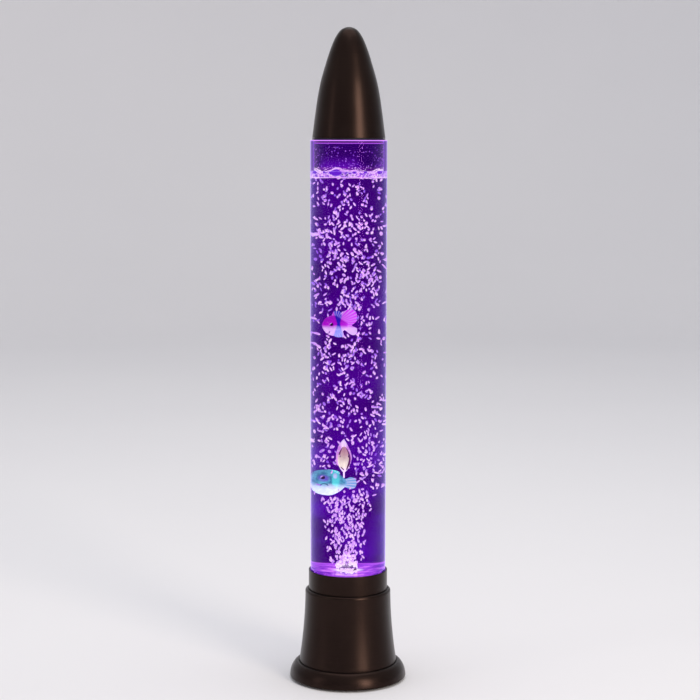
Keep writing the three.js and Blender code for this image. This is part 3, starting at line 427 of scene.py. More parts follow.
COVE_FLAT, COVE_BEND, COVE_HEIGHT, BEND_STEPS, COVE_MERGE = 3.0, 1.0, 1.7, 10, 0.0001
cove = bmesh.new()
cove_line = [(0, 0), (COVE_FLAT, 0)]
for number in range(1, BEND_STEPS + 1):
    angle = number / BEND_STEPS * QUARTER_TURN
    cove_line.append((COVE_FLAT + COVE_BEND * math.sin(angle), COVE_BEND * (1 - math.cos(angle))))
cove_line.append((COVE_FLAT + COVE_BEND, COVE_HEIGHT))
corners = [cove.verts.new((reach, 0, height)) for reach, height in cove_line]
for pair in zip(corners, corners[1:]):
    cove.edges.new(pair)
bmesh.ops.spin(cove, geom=cove.verts[:] + cove.edges[:], cent=(0, 0, 0), axis=(0, 0, 1),
               angle=FULL_TURN, steps=64, use_merge=True)
bmesh.ops.remove_doubles(cove, verts=cove.verts, dist=COVE_MERGE)
for face in cove.faces:
    face.smooth = True
studio_cove = mesh_object("studio_cove", cove)
studio_cove.data.materials.append(paint_cove())
studio_cove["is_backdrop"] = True
print("Studio cove with", len(studio_cove.data.polygons), "faces")

# %% [markdown]
# Metal shows what stands round it, so the lights are shaped for their reflections.
# A tall softbox in front on the right gives the long warm stripe on cap and base, a narrower one on the left
# gives the weak second stripe, and a wide one overhead lights the floor. A grey sky fills the shadows.
# A grid on the strong box, which is its spread, keeps its light on the lamp and off the floor beside it.

# %% Lights
GREY_SKY = (0.62, 0.62, 0.64, 1)


def softbox(name, spot, aim_height, width, height, power, colour, spread=180):
    light = bpy.data.lights.new(name, "AREA")
    light.spread = math.radians(spread)
    light.shape = "RECTANGLE"
    light.size, light.size_y = width, height
    light.energy = power
    light.color = colour
    lamp_object = bpy.data.objects.new(name, light)
    lamp_object.location = spot
    aim = Vector((0, 0, aim_height)) - Vector(spot)
    lamp_object.rotation_euler = aim.to_track_quat("-Z", "Y").to_euler()
    lamp_object.visible_camera = False
    lamp_object.visible_transmission = False
    scene.collection.objects.link(lamp_object)


softbox("stripe_right", (0.95, -1.3, 0.7), 0.55, 0.5, 1.3, 5.4, (1.0, 0.88, 0.74), spread=90)
softbox("stripe_left", (-1.5, -0.8, 0.62), 0.55, 0.22, 1.2, 1.6, (1.0, 0.93, 0.88))
softbox("overhead", (0.1, 0.1, 2.4), 0, 2.2, 2.2, 22.0, (1.0, 1.0, 1.0))

world = bpy.data.worlds.new("studio")
scene.world = world
world.use_nodes = True
world.node_tree.nodes["Background"].inputs["Color"].default_value = GREY_SKY
print("Three softboxes and a grey sky")

# %% [markdown]
# Three effects return in many finishes, so each is a node group that is built once.
# Turned grain is the fine rings that a lathe or a polishing belt leaves round a turned part.
# Wear brightens and smooths the outward edges that hands and cloths touch, and breaks up with noise.
# Speckle is the fine bump of moulded plastic and rubber.


# %% Shared effects
def build_grain():
    taken_kinds = {"Place": "Vector", "Rings": "Float"}
    group, taken, given = start_group("turned_grain", taken_kinds, {"Height": "Float", "Tone": "Float"})
    stretch = {"Vector": taken["Place"], "Scale": (3.0, 3.0, 1.0)}
    x, y, z = split(place(group, "Mapping", stretch))
    lined = place(group, "CombineXYZ", {"X": x, "Y": y, "Z": z * taken["Rings"]})
    rings = noise_of(lined, 1.0, 4.0, Roughness=0.7)
    fill(given["Height"], rings)
    fill(given["Tone"], rings * 0.55 + noise_of(taken["Place"], 28.0, 3.0) * 0.45)
    return group


def build_wear():
    taken_kinds = {"Place": "Vector", "Amount": "Float"}
    group, taken, given = start_group("edge_wear", taken_kinds, {"Mask": "Float"})
    edge = place(group, "Attribute", output="Fac", attribute_name="edge_wear")
    broken = noise_of(taken["Place"], 160.0, 4.0).ramp(0.35, 0.65)
    fill(given["Mask"], (edge * broken * taken["Amount"]).clamped())
    return group


def build_speckle():
    taken_kinds = {"Place": "Vector", "Scale": "Float"}
    group, taken, given = start_group("speckle", taken_kinds, {"Height": "Float", "Tone": "Float"})
    fill(given["Height"], noise_of(taken["Place"], taken["Scale"]))
    fill(given["Tone"], noise_of(taken["Place"], 60.0, 3.0))
    return group


GRAIN, WEAR, SPECKLE = build_grain(), build_wear(), build_speckle()
print("Three shared effects")

# %% [markdown]
# The metal is anodised or lacquered in a dark warm grey with a satin shine. A photographed texture could
# give the brushed look, but rings made from noise fit every piece at one scale and never repeat.


# %% Metals
def paint_metal(name, dark, light, roughness, rings_per_metre, grain):
    material, tree = start_material(name, Metallic=1.0)
    where = object_place(tree)
    rings = use_group(tree, GRAIN, Place=where, Rings=rings_per_metre)
    wear = use_group(tree, WEAR, Place=where, Amount=0.5)["Mask"]
    return dress(
        material,
        Base_Color=wear.mix(rings["Tone"].mix(dark, light), light),
        Roughness=rings["Tone"] * 0.12 + roughness - wear * 0.06,
        Normal=bump(rings["Height"], grain, 0.0004),
    )


# Each metal has a dark and a light tone, its roughness, its rings and how deep they are.
METALS = {
    "gunmetal": (rgb(34, 24, 22), rgb(50, 39, 35), 0.25, 900.0, 0.12),
    "bright_metal": (rgb(160, 160, 164), rgb(205, 205, 208), 0.22, 1400.0, 0.12),
    "brass": (rgb(150, 118, 60), rgb(200, 165, 95), 0.28, 1400.0, 0.12),
    "copper": (rgb(140, 66, 34), rgb(205, 110, 62), 0.3, 5200.0, 0.6),
    "core_steel": (rgb(95, 95, 98), rgb(140, 140, 143), 0.4, 6000.0, 0.5),
    "magnet": (rgb(48, 48, 51), rgb(70, 70, 73), 0.42, 2000.0, 0.12),
}
FINISHES = {slot: paint_metal(slot, *values) for slot, values in METALS.items()}
print(len(METALS), "metals")

# %% [markdown]
# Plastics and rubbers differ in colour and shine, and in how coarse their surface is. One recipe takes
# those as values. A little speckle in the bump keeps the highlights from looking painted on.


# %% Plastics, rubbers and boards
def paint_plastic(name, dark, light, roughness, scale, grain):
    material, tree = start_material(name)
    where = object_place(tree)
    speck = use_group(tree, SPECKLE, Place=where, Scale=scale)
    wear = use_group(tree, WEAR, Place=where, Amount=0.4)["Mask"]
    return dress(
        material,
        Base_Color=wear.mix(speck["Tone"].ramp(0.3, 0.7).mix(dark, light), light),
        Roughness=speck["Tone"] * 0.2 + (roughness - 0.1),
        Normal=bump(speck["Height"], grain, 0.0002),
    )


def paint_board():
    material, tree = start_material("circuit_board", Roughness=0.35)
    where = object_place(tree)
    lanes = place(tree, "TexBrick", {"Vector": where, "Scale": 240.0, "Mortar Size": 0.03}, "Fac")
    lane = lanes.ramp(0.4, 0.6)
    speck = use_group(tree, SPECKLE, Place=where, Scale=1500.0)["Height"]
    tone = lane.mix(rgb(26, 88, 54), rgb(46, 122, 74))
    return dress(material, Base_Color=tone, Normal=bump(lane * 0.6 + speck, 0.3, 0.0002))


def paint_led():
    material, tree = start_material("led", Roughness=0.25, Emission_Strength=1.0)
    speck = use_group(tree, SPECKLE, Place=object_place(tree), Scale=900.0)["Tone"]
    tone = speck.mix(rgb(190, 140, 255), rgb(245, 230, 255))
    return dress(material, Base_Color=tone, Emission_Color=tone)


# Each has a dark and a light tone, its roughness, how fine its speckle is and how deep.
PLASTICS = {
    "black_plastic": (rgb(20, 19, 21), rgb(38, 37, 40), 0.42, 2600.0, 0.3),
    "grey_plastic": (rgb(104, 102, 105), rgb(124, 122, 126), 0.5, 2400.0, 0.3),
    "rubber": (rgb(18, 18, 18), rgb(34, 34, 34), 0.78, 3200.0, 0.5),
    "silicone": (rgb(205, 205, 200), rgb(226, 226, 222), 0.4, 1800.0, 0.2),
}
FINISHES.update({slot: paint_plastic(slot, *values) for slot, values in PLASTICS.items()})
FINISHES.update(circuit_board=paint_board(), led=paint_led())
print("Plastics, rubbers, board and LED")

# %% [markdown]
# The cap is a hollow bullet, spun from sheet. Its side is a long curve that closes into a small blunt tip,
# so its outline is a smooth line through a few measured points, mirrored inwards for the wall.


# %% Cap
def span(node):
    """The lowest and the highest point of a CAD node, in millimetres."""
    low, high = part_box(node)
    return low.z / MM, high.z / MM


CAP_FOOT, CAP_TOP = span("cap_shell")
CAP_RADIUS, CAP_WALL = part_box("cap_shell")[1].x / MM, 1.5
OUTER_STEPS, INNER_STEPS, FOOT_ROUNDING = 54, 24, 0.18
CAP_HEIGHT_SHARES = [0, 0.04, 0.21, 0.38, 0.52, 0.67, 0.785, 0.895, 0.965, 0.993, 1]
CAP_RADIUS_SHARES = [1, 0.985, 0.92, 0.845, 0.76, 0.63, 0.52, 0.385, 0.245, 0.11, 0]


def cap_line(radius, height, steps):
    points = [(r * radius, CAP_FOOT + h * height) for r, h in zip(CAP_RADIUS_SHARES, CAP_HEIGHT_SHARES)]
    line = smooth_through(points, steps)
    return line[:-1] + [(0, line[-1][1])]


outer = cap_line(CAP_RADIUS, CAP_TOP - CAP_FOOT, OUTER_STEPS)
inner = cap_line(CAP_RADIUS - CAP_WALL, CAP_TOP - CAP_FOOT - CAP_WALL, INNER_STEPS)
foot_corners = [len(inner) - 1, len(inner)]
cap_shape = turned(inner[::-1] + outer, [(foot_corners, FOOT_ROUNDING)])
keep(cap_shape, "cap_shell_spun", "cap", "gunmetal", "cap_shell")

# %% [markdown]
# Under the cap a plug closes the tube. It has a flange that rests on the rim, a short spigot that reaches
# inside, and a low step on top that centres the cap and closes the slit under it.
# It is turned from one outline, as the real one is moulded.


# %% Cap plug
def paint_lit_plug():
    """Black plastic with a painted violet glow along its lower edge, where the light of the tube would catch
    it.
    """
    material = FINISHES["black_plastic"].copy()
    material.name = "black_plastic_lit"
    height = split(object_place(material.node_tree))[2]
    light = height_band(height, *PLUG_GLOW).mix(BLACK, rgb(240, 150, 255))
    return dress(material, Emission_Color=light, Emission_Strength=1.0, Specular_IOR_Level=0.12)


TUBE_LOW, TUBE_HIGH = span("tube")
# In metres, as a recipe's heights are: the band along the plug's edge that gets the painted glow.
PLUG_GLOW = (0.4995, 0.5006)
plug_outline = [
    (1.5, TUBE_HIGH), (28.7, TUBE_HIGH), (28.7, 499.9), (31.7, 499.9),
    (31.7, 503.3), (33.3, 503.3), (33.3, 504.6), (31.3, 504.6), (31.3, 506.0), (1.5, 506.0),
]
plug_shape = turned(plug_outline, [([2, 3], 0.4), ([5, 6], 0.3)])
keep(plug_shape, "cap_plug_turned", "cap", "black_plastic", "cap_plug", paint_lit_plug())

# %% [markdown]
# The base has three turned shells: the collar that holds the tube, the body that widens towards the foot,
# and the flared ring. The body's side is a power curve, steeper near the foot.

# %% Collar and body
SHOULDER_TOP, COLLAR_TOP, RING_TOP = 86.0, 104.5, 16.6
SHOULDER_RADIUS, BODY_FLARE, BODY_WALL, TAPER_POWER = 40.0, 5.8, 1.6, 1.9
LIP_RADIUS, BODY_LOW, WALL_TOP = 37.1, 12.3, 84.0
TAPER_HEIGHT = SHOULDER_TOP - RING_TOP


def body_radius(height):
    share = min(max((height - RING_TOP) / TAPER_HEIGHT, 0), 1)
    return SHOULDER_RADIUS + BODY_FLARE * (1 - share) ** TAPER_POWER


def wall_line(outwards, low, high, steps=24):
    heights = [low + number / steps * (high - low) for number in range(steps + 1)]
    return [(body_radius(height) + outwards, height) for height in heights]


collar_outline = [
    (34.0, 81.7), (38.0, 81.7), (38.0, 83.7), (36.8, 83.7), (36.8, COLLAR_TOP), (35.3, COLLAR_TOP),
    (35.3, 88.0), (28.3, 88.0), (28.3, 85.0), (34.0, 85.0),
]
collar_shape = turned(collar_outline, [([4, 5], 0.55), ([1, 2], 0.3)])
keep(collar_shape, "collar_turned", "base", "gunmetal", "collar")

outside = [(45.8, BODY_LOW)] + wall_line(0, RING_TOP, SHOULDER_TOP - 0.1)[:-1]
rim = [(SHOULDER_RADIUS, SHOULDER_TOP), (LIP_RADIUS, SHOULDER_TOP), (LIP_RADIUS, WALL_TOP)]
inside = wall_line(-BODY_WALL, RING_TOP, WALL_TOP)[::-1] + [(44.2, BODY_LOW)]
shoulder, lip = len(outside), len(outside) + 1
body_shape = turned(outside + rim + inside, [([shoulder], 2.0), ([lip], 0.4)])
print("The body has", len(body_shape.faces), "faces before its openings are cut")

# %% [markdown]
# The body's rear wall has three real openings. They are cut with the Boolean modifier, which takes one
# shape out of another, from two round bars and a block that stand square to the leaning wall.

# %% Openings in the rear wall
JACK_HEIGHT, BUTTON_HEIGHT, ROCKER_HEIGHT = 32.0, 47.0, 64.0
JACK_CUT, BUTTON_CUT, ROCKER_CUT_WIDTH, ROCKER_CUT_HEIGHT = 5.3, 5.5, 10.1, 14.8
CUT_DEPTH, CUT_PROUD = -3.6, 2


def on_wall(shape, height):
    """Takes a shape that stands on Z, with its outside up, to the leaning rear wall at a height."""
    share = (height - RING_TOP) / TAPER_HEIGHT
    lean = math.atan(BODY_FLARE * TAPER_POWER * (1 - share) ** (TAPER_POWER - 1) / TAPER_HEIGHT)
    return moved(shape, shift(0, body_radius(height), height) @ turn(lean, "X") @ turn(-QUARTER_TURN, "X"))


def bar(radius, low, high, steps=64):
    return turned([(0, low), (radius, low), (radius, high), (0, high)], steps=steps)


def carve(shape, cutters):
    """Takes the cutters out of the shape with Boolean modifiers, and returns the result as a bmesh."""
    blank = mesh_object("blank", shape)
    tools = [mesh_object("cutter", cutter) for cutter in cutters]
    for tool in tools:
        modifier = blank.modifiers.new("opening", "BOOLEAN")
        modifier.object = tool
        modifier.operation = "DIFFERENCE"
        modifier.solver = "EXACT"
    bpy.context.view_layer.update()
    result = bmesh.new()
    result.from_object(blank, bpy.context.evaluated_depsgraph_get())
    for spare in [blank, *tools]:
        spare_mesh = spare.data
        bpy.data.objects.remove(spare)
        bpy.data.meshes.remove(spare_mesh)
    return result


cutters = [
    on_wall(bar(JACK_CUT, CUT_DEPTH, CUT_PROUD), JACK_HEIGHT),
    on_wall(bar(BUTTON_CUT, CUT_DEPTH, CUT_PROUD), BUTTON_HEIGHT),
    on_wall(block(ROCKER_CUT_WIDTH, ROCKER_CUT_HEIGHT, CUT_DEPTH, CUT_PROUD), ROCKER_HEIGHT),
]
keep(carve(body_shape, cutters), "base_body_spun", "base", "gunmetal", "base_body")

# %% [markdown]
# The foot ring is the flared skirt that the lamp stands in. Its outline starts at the table, swells,
# and sweeps up into a thin lip round the body. Inside it has a ledge that the body and the plate meet.

# %% Foot ring and pads
SKIRT_REACH_SHARES = [0.96, 1, 0.9, 0.71, 0.4, 0.16, 0]
SKIRT_HEIGHT_SHARES = [0, 0.1, 0.41, 0.66, 0.89, 0.98, 1]
RING_LOW, RING_HEIGHT, LIP_OUTER, FOOT_RADIUS = 2.0, 14.6, 46.9, 54.6
PAD_RADIUS, PAD_HEIGHT = 6, 4.4
skirt = smooth_through([
    (LIP_OUTER + reach * (FOOT_RADIUS - LIP_OUTER), RING_LOW + height * RING_HEIGHT)
    for reach, height in zip(SKIRT_REACH_SHARES, SKIRT_HEIGHT_SHARES)
], 36)
ledge = [(46.1, RING_TOP), (46.1, 12.0), (40.0, 12.0), (40.0, 7.5), (51.0, 7.5), (51.0, RING_LOW)]
ring_rounds = [([0], 0.6), ([len(skirt) - 1, len(skirt)], 0.25), ([len(skirt + ledge) - 1], 0.4)]
keep(turned(skirt + ledge, ring_rounds), "foot_ring_spun", "base", "gunmetal", "foot_ring")

pad_outline = [(0, 0), (PAD_RADIUS, 0), (PAD_RADIUS, PAD_HEIGHT), (0, PAD_HEIGHT)]
for number in range(1, 5):
    node = f"foot_pad_{number}"
    middle = sum(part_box(node), Vector()) / 2
    pad = turned(pad_outline, [([1], 0.7), ([2], 0.3)], steps=48)
    bmesh.ops.translate(pad, vec=(middle.x, middle.y, 0), verts=pad.verts)
    keep(pad, f"{node}_moulded", "base", "rubber", node)

# %% [markdown]
# The rear wall carries the power inlet, a colour button in its bezel and a power rocker in its frame.
# The photograph shows the front only, so these follow what such lamps have. Round parts are turned,
# then leaned with the wall. The table gives for each its place, its outline and its rounded corners.

# %% Round rear fittings
ROUND_FITTINGS = [
    (
        "power_inlet", "base", "black_plastic", "dc_jack", JACK_HEIGHT,
        [(0, -13), (5, -13), (5, -0.7), (7, -0.7), (7, 1.6), (2.9, 1.6), (2.9, -9.5), (0, -9.5)],
        [([4, 5], 0.5)],
    ),
    (
        "power_inlet_pin", "base", "bright_metal", None, JACK_HEIGHT,
        [(0, -9.6), (1, -9.6), (1, -0.8), (0, -0.8)],
        [([2], 0.3)],
    ),
    (
        "button_bezel_turned", "base", "black_plastic", "button_bezel", BUTTON_HEIGHT,
        [(3.35, 1), (6.5, 1), (6.5, -0.7), (5.2, -0.7), (5.2, -11), (4.35, -11), (4.35, -4), (3.35, -4)],
        [([0, 1], 0.35)],
    ),
    (
        "colour_button_moulded", "button", "grey_plastic", "colour_button", BUTTON_HEIGHT,
        [(0, -5.3), (4, -5.3), (4, -4.3), (3, -4.3), (3, 1.4), (2.2, 1.1), (0, 0.9)],
        [([4], 0.4), ([5], 0.3)],
    ),
]
for name, body, slot, node, height, outline, rounds in ROUND_FITTINGS:
    steps = 32 if name.endswith("pin") else 64
    keep(on_wall(turned(outline, rounds, steps), height), name, body, slot, node)

# %% [markdown]
# The rocker sits in a frame with a flange outside and a box behind the wall, both with a square opening.
# Its paddle is an outline of its side, with a dished top, that is extruded across and bevelled.
# It leans with its lower end pressed in, and turns on a pin.

# %% Power rocker
OPENING_WIDTH, OPENING_HEIGHT, OPENING_PROUD = 7.9, 12.6, 3
FLANGE_WIDTH, FLANGE_HEIGHT, FLANGE_LOW, FLANGE_TOP, FLANGE_ROUNDING = 12.5, 17.2, -0.7, 1.0, 0.4
BOX_WIDTH, BOX_HEIGHT, BOX_LOW, BOX_TOP, BOX_FLOOR = 9.5, 14.2, -11, -0.2, 0.8
flange = block(FLANGE_WIDTH, FLANGE_HEIGHT, FLANGE_LOW, FLANGE_TOP)
soften(flange, flange.edges[:], FLANGE_ROUNDING)
flange = carve(flange, [block(OPENING_WIDTH, OPENING_HEIGHT, -OPENING_PROUD, OPENING_PROUD)])
keep(on_wall(flange, ROCKER_HEIGHT), "rocker_frame_flange", "base", "black_plastic", "rocker_frame")
inside_box = block(OPENING_WIDTH, OPENING_HEIGHT, BOX_LOW + BOX_FLOOR, OPENING_PROUD)
frame_box = carve(block(BOX_WIDTH, BOX_HEIGHT, BOX_LOW, BOX_TOP), [inside_box])
keep(on_wall(frame_box, ROCKER_HEIGHT), "rocker_frame_box", "base", "black_plastic")


def rocker_paddle():
    tip, valley, pivot, width = 2.3, 1.0, 2.6, 7.2
    half, waist, heel_half, heel = 5.2, 4.8, 2.5, -7.0
    pin_radius, pin_half, rounding, sharp_rim = 1.1, 4.6, 0.35, 0.9
    steps, lean = 8, math.radians(-9)
    dish = [half - number / steps * 2 * half for number in range(steps + 1)]
    top = [(along, valley + (tip - valley) * (along / half) ** 2) for along in dish]
    outline = [(-waist, -pivot), (-heel_half, heel), (heel_half, heel), (waist, -pivot)] + top
    shape = moved(plate(outline, width, rounding, sharp_rim, 3), turn(QUARTER_TURN, "Z"))
    pin = moved(bar(pin_radius, -pin_half, pin_half, 32), shift(0, 0, -pivot) @ turn(QUARTER_TURN, "Y"))
    pressed = shift(0, 0, -pivot) @ turn(lean, "X") @ shift(0, 0, pivot)
    return moved(join_shapes(shape, pin), pressed)


rocker = on_wall(rocker_paddle(), ROCKER_HEIGHT)
keep(rocker, "power_rocker_moulded", "rocker", "black_plastic", "power_rocker")

# %% [markdown]
# The tube is clear acrylic. Its wall pipes some of the light from below, and that light is painted on as a
# glow:
# a thin bright line on the top rim and violet bands along the wall. The glass look comes from plain
# transmission with the index of acrylic, and the painted glow from masks on height and on how far a place is
# turned away
# from the eye: the wall, the edge and the sides have each their own. Above the water the glass gets a painted
# violet cast that stands in for the lamp's light there.

# %% Tube
TUBE_OUTER, TUBE_INNER = 35.0, 32.0
LIT_GLASS = {"Transmission_Weight": 1.0, "Emission_Strength": 1.0, "Specular_Tint": (0.1, 0.04, 0.17, 1)}
# Heights in metres: where the foam ends, where the glass starts its painted violet cast, and the painted
# bright line of the rim.
FOAM_END, VIOLET_CAST_START, RIM_GLOW = (0.4748, 0.4756), (0.4785, 0.4795), (0.5022, 0.5035)


def paint_acrylic():
    material, tree = start_material("clear_acrylic", Roughness=0.02, IOR=1.49, **LIT_GLASS)
    where = object_place(tree)
    height = split(where)[2]
    grazing = place(tree, "LayerWeight", {"Blend": 0.5}, "Facing")
    clear_of_foam = height.ramp(*FOAM_END)
    # Masks for the painted glow: the band along the wall, the bore's edge and the sides, by how far the glass
    # turns from the eye.
    wall = clear_of_foam * grazing.ramp(0.56, 0.6)
    bore = clear_of_foam * grazing.away(0.6).ramp(0.03, 0.01)
    edge = (bore * 0.55).larger(grazing.ramp(0.76, 0.9))
    sides = grazing.ramp(0.4, 0.7).mix(rgb(12, 0, 24), rgb(26, 0, 92))
    glow = edge.mix(wall.mix(sides, rgb(60, 6, 122)), rgb(126, 52, 208))
    rim = height_band(height, *RIM_GLOW)
    clear = noise_of(where, 90.0).mix(rgb(246, 240, 255), rgb(255, 252, 255))
    # Clear glass below; above the water a painted violet cast that stands in for the lamp's light.
    clear_and_violet_cast = height.ramp(*VIOLET_CAST_START).mix(clear, rgb(200, 150, 245))
    # Along the wall band the glass is dark violet, part of its painted glow.
    return dress(
        material,
        Emission_Color=rim.mix(glow, rgb(205, 130, 255)),
        Base_Color=wall.mix(clear_and_violet_cast, rgb(30, 4, 70)),
    )


FINISHES["clear_acrylic"] = paint_acrylic()
tube_outline = [
    (TUBE_INNER, TUBE_LOW), (TUBE_OUTER, TUBE_LOW), (TUBE_OUTER, TUBE_HIGH), (TUBE_INNER, TUBE_HIGH),
]
tube_shape = turned(tube_outline, [([2, 3], 0.4), ([0, 1], 0.3)], steps=160)
keep(tube_shape, "tube_polished", "base", "clear_acrylic", "tube")

# %% [markdown]
# A thick clear disc is glued into the tube's foot, over the LEDs. All the light enters the water through it,
# so it gets a painted glow as the brightest part: magenta at the rim and almost white round the air nozzle,
# over a painted dark violet colour.


# %% Tube floor and nozzle
def paint_floor_glow():
    material, tree = start_material("lit_floor", Roughness=0.2, Emission_Strength=1.0)
    where = object_place(tree)
    x, y, _ = split(where)
    out = (x * x + y * y).root()
    clouds = noise_of(where, 110.0, 3.0)
    ripple = clouds.ramp(0.36, 0.52)
    base = ripple.mix(rgb(104, 32, 178), rgb(156, 70, 214))
    base = clouds.ramp(0.54, 0.66).mix(base, rgb(214, 124, 244))
    # A painted glow: almost white round the nozzle, violet and magenta clouds further out, on a painted dark
    # violet ground.
    return dress(
        material,
        Emission_Color=out.ramp(*WHITE_GLOW_REACH).mix(rgb(255, 235, 255), base),
        Base_Color=ripple.mix(rgb(50, 12, 84), rgb(72, 24, 108)),
    )


# In metres from the axis: where the painted white glow round the nozzle starts to fade and where it ends.
WHITE_GLOW_REACH = (0.006, 0.013)
FLOOR_BORE, FLOOR_RADIUS, FLOOR_LOW, FLOOR_TOP = 4, 31.7, 100, 105
floor_outline = [
    (FLOOR_BORE, FLOOR_LOW), (FLOOR_RADIUS, FLOOR_LOW), (FLOOR_RADIUS, FLOOR_TOP), (FLOOR_BORE, FLOOR_TOP),
]
floor_shape = turned(floor_outline, [([1, 2], 0.4), ([0, 3], 0.3)])
keep(floor_shape, "tube_floor_lit", "base", "clear_acrylic", "tube_floor", paint_floor_glow())

NOZZLE_LOW, NOZZLE_HIGH = span("air_nozzle")
nozzle_outline = [
    (0.9, NOZZLE_LOW), (1.3, NOZZLE_LOW), (1.3, 96.1), (3.7, 96.1), (3.7, 106.6), (6.0, 106.6), (6.0, 108.8),
    (3.0, NOZZLE_HIGH), (0.9, NOZZLE_HIGH),
]
nozzle = turned(nozzle_outline, [([5, 6, 7], 0.4)], steps=64)
keep(nozzle, "air_nozzle_turned", "base", "bright_metal", "air_nozzle")

# %% [markdown]
# The water bends light, which makes the bubbles look wider than they are. Its surface reaches a hair
# into the tube's wall and floor, so that light passes between acrylic and water as it really does, with no
# film of air. Its far wall is a nearly opaque dark sheet with a painted violet glow: seen from inside,
# it stands for all the lit water behind the bubbles.

# %% Water
WATER_LOW, WATER_TOP, WATER_RADIUS, PLUG_FOOT = 104.9, 474.4, 32.05, 499.6
# Nearly black: the far side lets almost no light through, a dark sheet under the painted glow.
FAR_DARK_SHEET = (0.0004, 0, 0.004, 1)
# In metres: a painted glow of the floor's face shows in the water below the first height.
FLOOR_GLOW = (0.1064, 0.1057)


def paint_water(name, index, deep, high, cloud, rise):
    """A painted violet glow on the far side that changes from deep to high over the two heights in rise, with
    darker clouds in it.
    """
    material, tree = start_material(name, Roughness=0.0, IOR=index, **LIT_GLASS)
    where = object_place(tree)
    height = split(where)[2]
    far = place(tree, "NewGeometry", output="Backfacing")
    glow = height.ramp(*rise).mix(deep, high)
    shaded = noise_of(where, 30.0, 4.0).ramp(0.35, 0.65).mix(glow, cloud)
    shaded = height.ramp(*FLOOR_GLOW).mix(shaded, rgb(176, 84, 226))
    return dress(material, Emission_Color=far.mix(BLACK, shaded), Base_Color=far.mix(WHITE, FAR_DARK_SHEET))


water_paint = paint_water("lit_water", 1.33, rgb(80, 8, 170), rgb(58, 0, 118), rgb(40, 0, 90), (0.13, 0.30))
water_outline = [
    (0, WATER_LOW), (WATER_RADIUS, WATER_LOW), (WATER_RADIUS, WATER_TOP + 0.9), (31.4, WATER_TOP + 0.3),
    (29.5, WATER_TOP), (0, WATER_TOP),
]
keep(turned(water_outline, steps=160), "water", "base", "clear_acrylic", material=water_paint)

# The air above the water has the same painted violet glow on its far side, brighter just above the foam.
damp_paint = paint_water("damp_air", 1.0, rgb(112, 24, 168), rgb(54, 0, 88), rgb(46, 0, 80), (0.477, 0.491))
damp_outline = [
    (0, WATER_TOP + 0.1), (29.5, WATER_TOP + 0.1), (31.35, WATER_TOP + 0.42), (31.95, WATER_TOP + 1.0),
    (31.95, PLUG_FOOT), (0, PLUG_FOOT),
]
keep(turned(damp_outline), "damp_air", "base", "clear_acrylic", material=damp_paint)

# %% [markdown]
# There are hundreds of bubbles. Each starts as a ball with a few dozen faces, squashed and tilted
# at random, because a rising bubble wobbles and leans. A random seed fixes them, so every run is the same.
# They could be spheres of glass, but each is only a pixel or two wide, so each gets a painted glow instead.

# %% Bubble helpers
random.seed(41)
FISH_BOXES = [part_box(node) for node in ("fish_pink", "fish_teal", "fish_orange")]
FISH_CLEARANCE = 0.0022
HIDING_SHARE_LEFT_OUT = 0.8
# A dark violet ground under the painted glow of bubbles, foam and droplets.
BUBBLE_BASE = rgb(60, 20, 90)


def near_fish(spot):
    """True where a bubble at the spot would touch a fish's box, or hide the fish from the front."""
    for low, high in FISH_BOXES:
        beside = all(low[k] - FISH_CLEARANCE < spot[k] < high[k] + FISH_CLEARANCE for k in range(3))
        ahead = low.x < spot.x < high.x and low.z < spot.z < high.z and spot.y < low.y
        if beside or (ahead and random.random() < HIDING_SHARE_LEFT_OUT):
            return True
    return False


def around(out, angle, height, aside=0):
    """A spot at a distance from the axis, in millimetres, turned round it by an angle."""
    return Vector((out * math.cos(angle) + aside, out * math.sin(angle), height)) * MM


def tilted(spot, sizes, tilt):
    """Where a ball goes: its place, its half sizes in millimetres and how far it may tilt."""
    angles = Euler((random.uniform(-tilt, tilt), random.uniform(-tilt, tilt), random.uniform(0, FULL_TURN)))
    return Matrix.Translation(spot) @ angles.to_matrix().to_4x4() @ sized(*sizes)


def start_balls():
    shape = bmesh.new()
    shape.verts.layers.float.new("brightness")
    return shape


def ball_mesh(segments, rings):
    """One small ball of radius 1, to be copied many times."""
    ball = start_balls()
    bmesh.ops.create_uvsphere(ball, u_segments=segments, v_segments=rings, radius=1)
    mesh = bpy.data.meshes.new("ball")
    ball.to_mesh(mesh)
    ball.free()
    return mesh


def add_balls(shape, ball, places):
    """Adds a copy of the ball for each matrix and brightness. A copied mesh is far faster than a new ball."""
    for matrix, brightness in places:
        copy = ball.copy()
        copy.transform(matrix)
        copy.attributes["brightness"].data.foreach_set("value", [brightness] * len(copy.vertices))
        shape.from_mesh(copy)
        bpy.data.meshes.remove(copy)
    return shape


def facing_up(tree):
    """How far the surface faces up: 1 on top, -1 underneath."""
    return split(place(tree, "NewGeometry", output="Normal"))[2]


def start_glowing(name, roughness, strength=1.0):
    """A glowing material that isn't sampled as a lamp, because hundreds of small shapes would be slow."""
    material, tree = start_material(name, Roughness=roughness, Emission_Strength=strength)
    material.cycles.emission_sampling = "NONE"
    return material, tree


def paint_bubbles(name, dim, bright, tip):
    """A painted glow, bright all over and with a whiter painted highlight below, where the light comes from,
    at each bubble's own strength.
    """
    material, tree = start_glowing(name, 0.3)
    own = own_brightness(tree)
    lit = facing_up(tree).ramp(0.8, -0.3) * noise_of(object_place(tree), 700.0).ramp(0.36, 0.5)
    glow = (lit * own).mix(own.mix(dim, bright), tip)
    return dress(material, Base_Color=BUBBLE_BASE, Emission_Color=glow)


bubble_paint = paint_bubbles("bubbles", rgb(112, 36, 214), rgb(224, 150, 252), rgb(255, 222, 255))
print("Bubble helpers are ready")

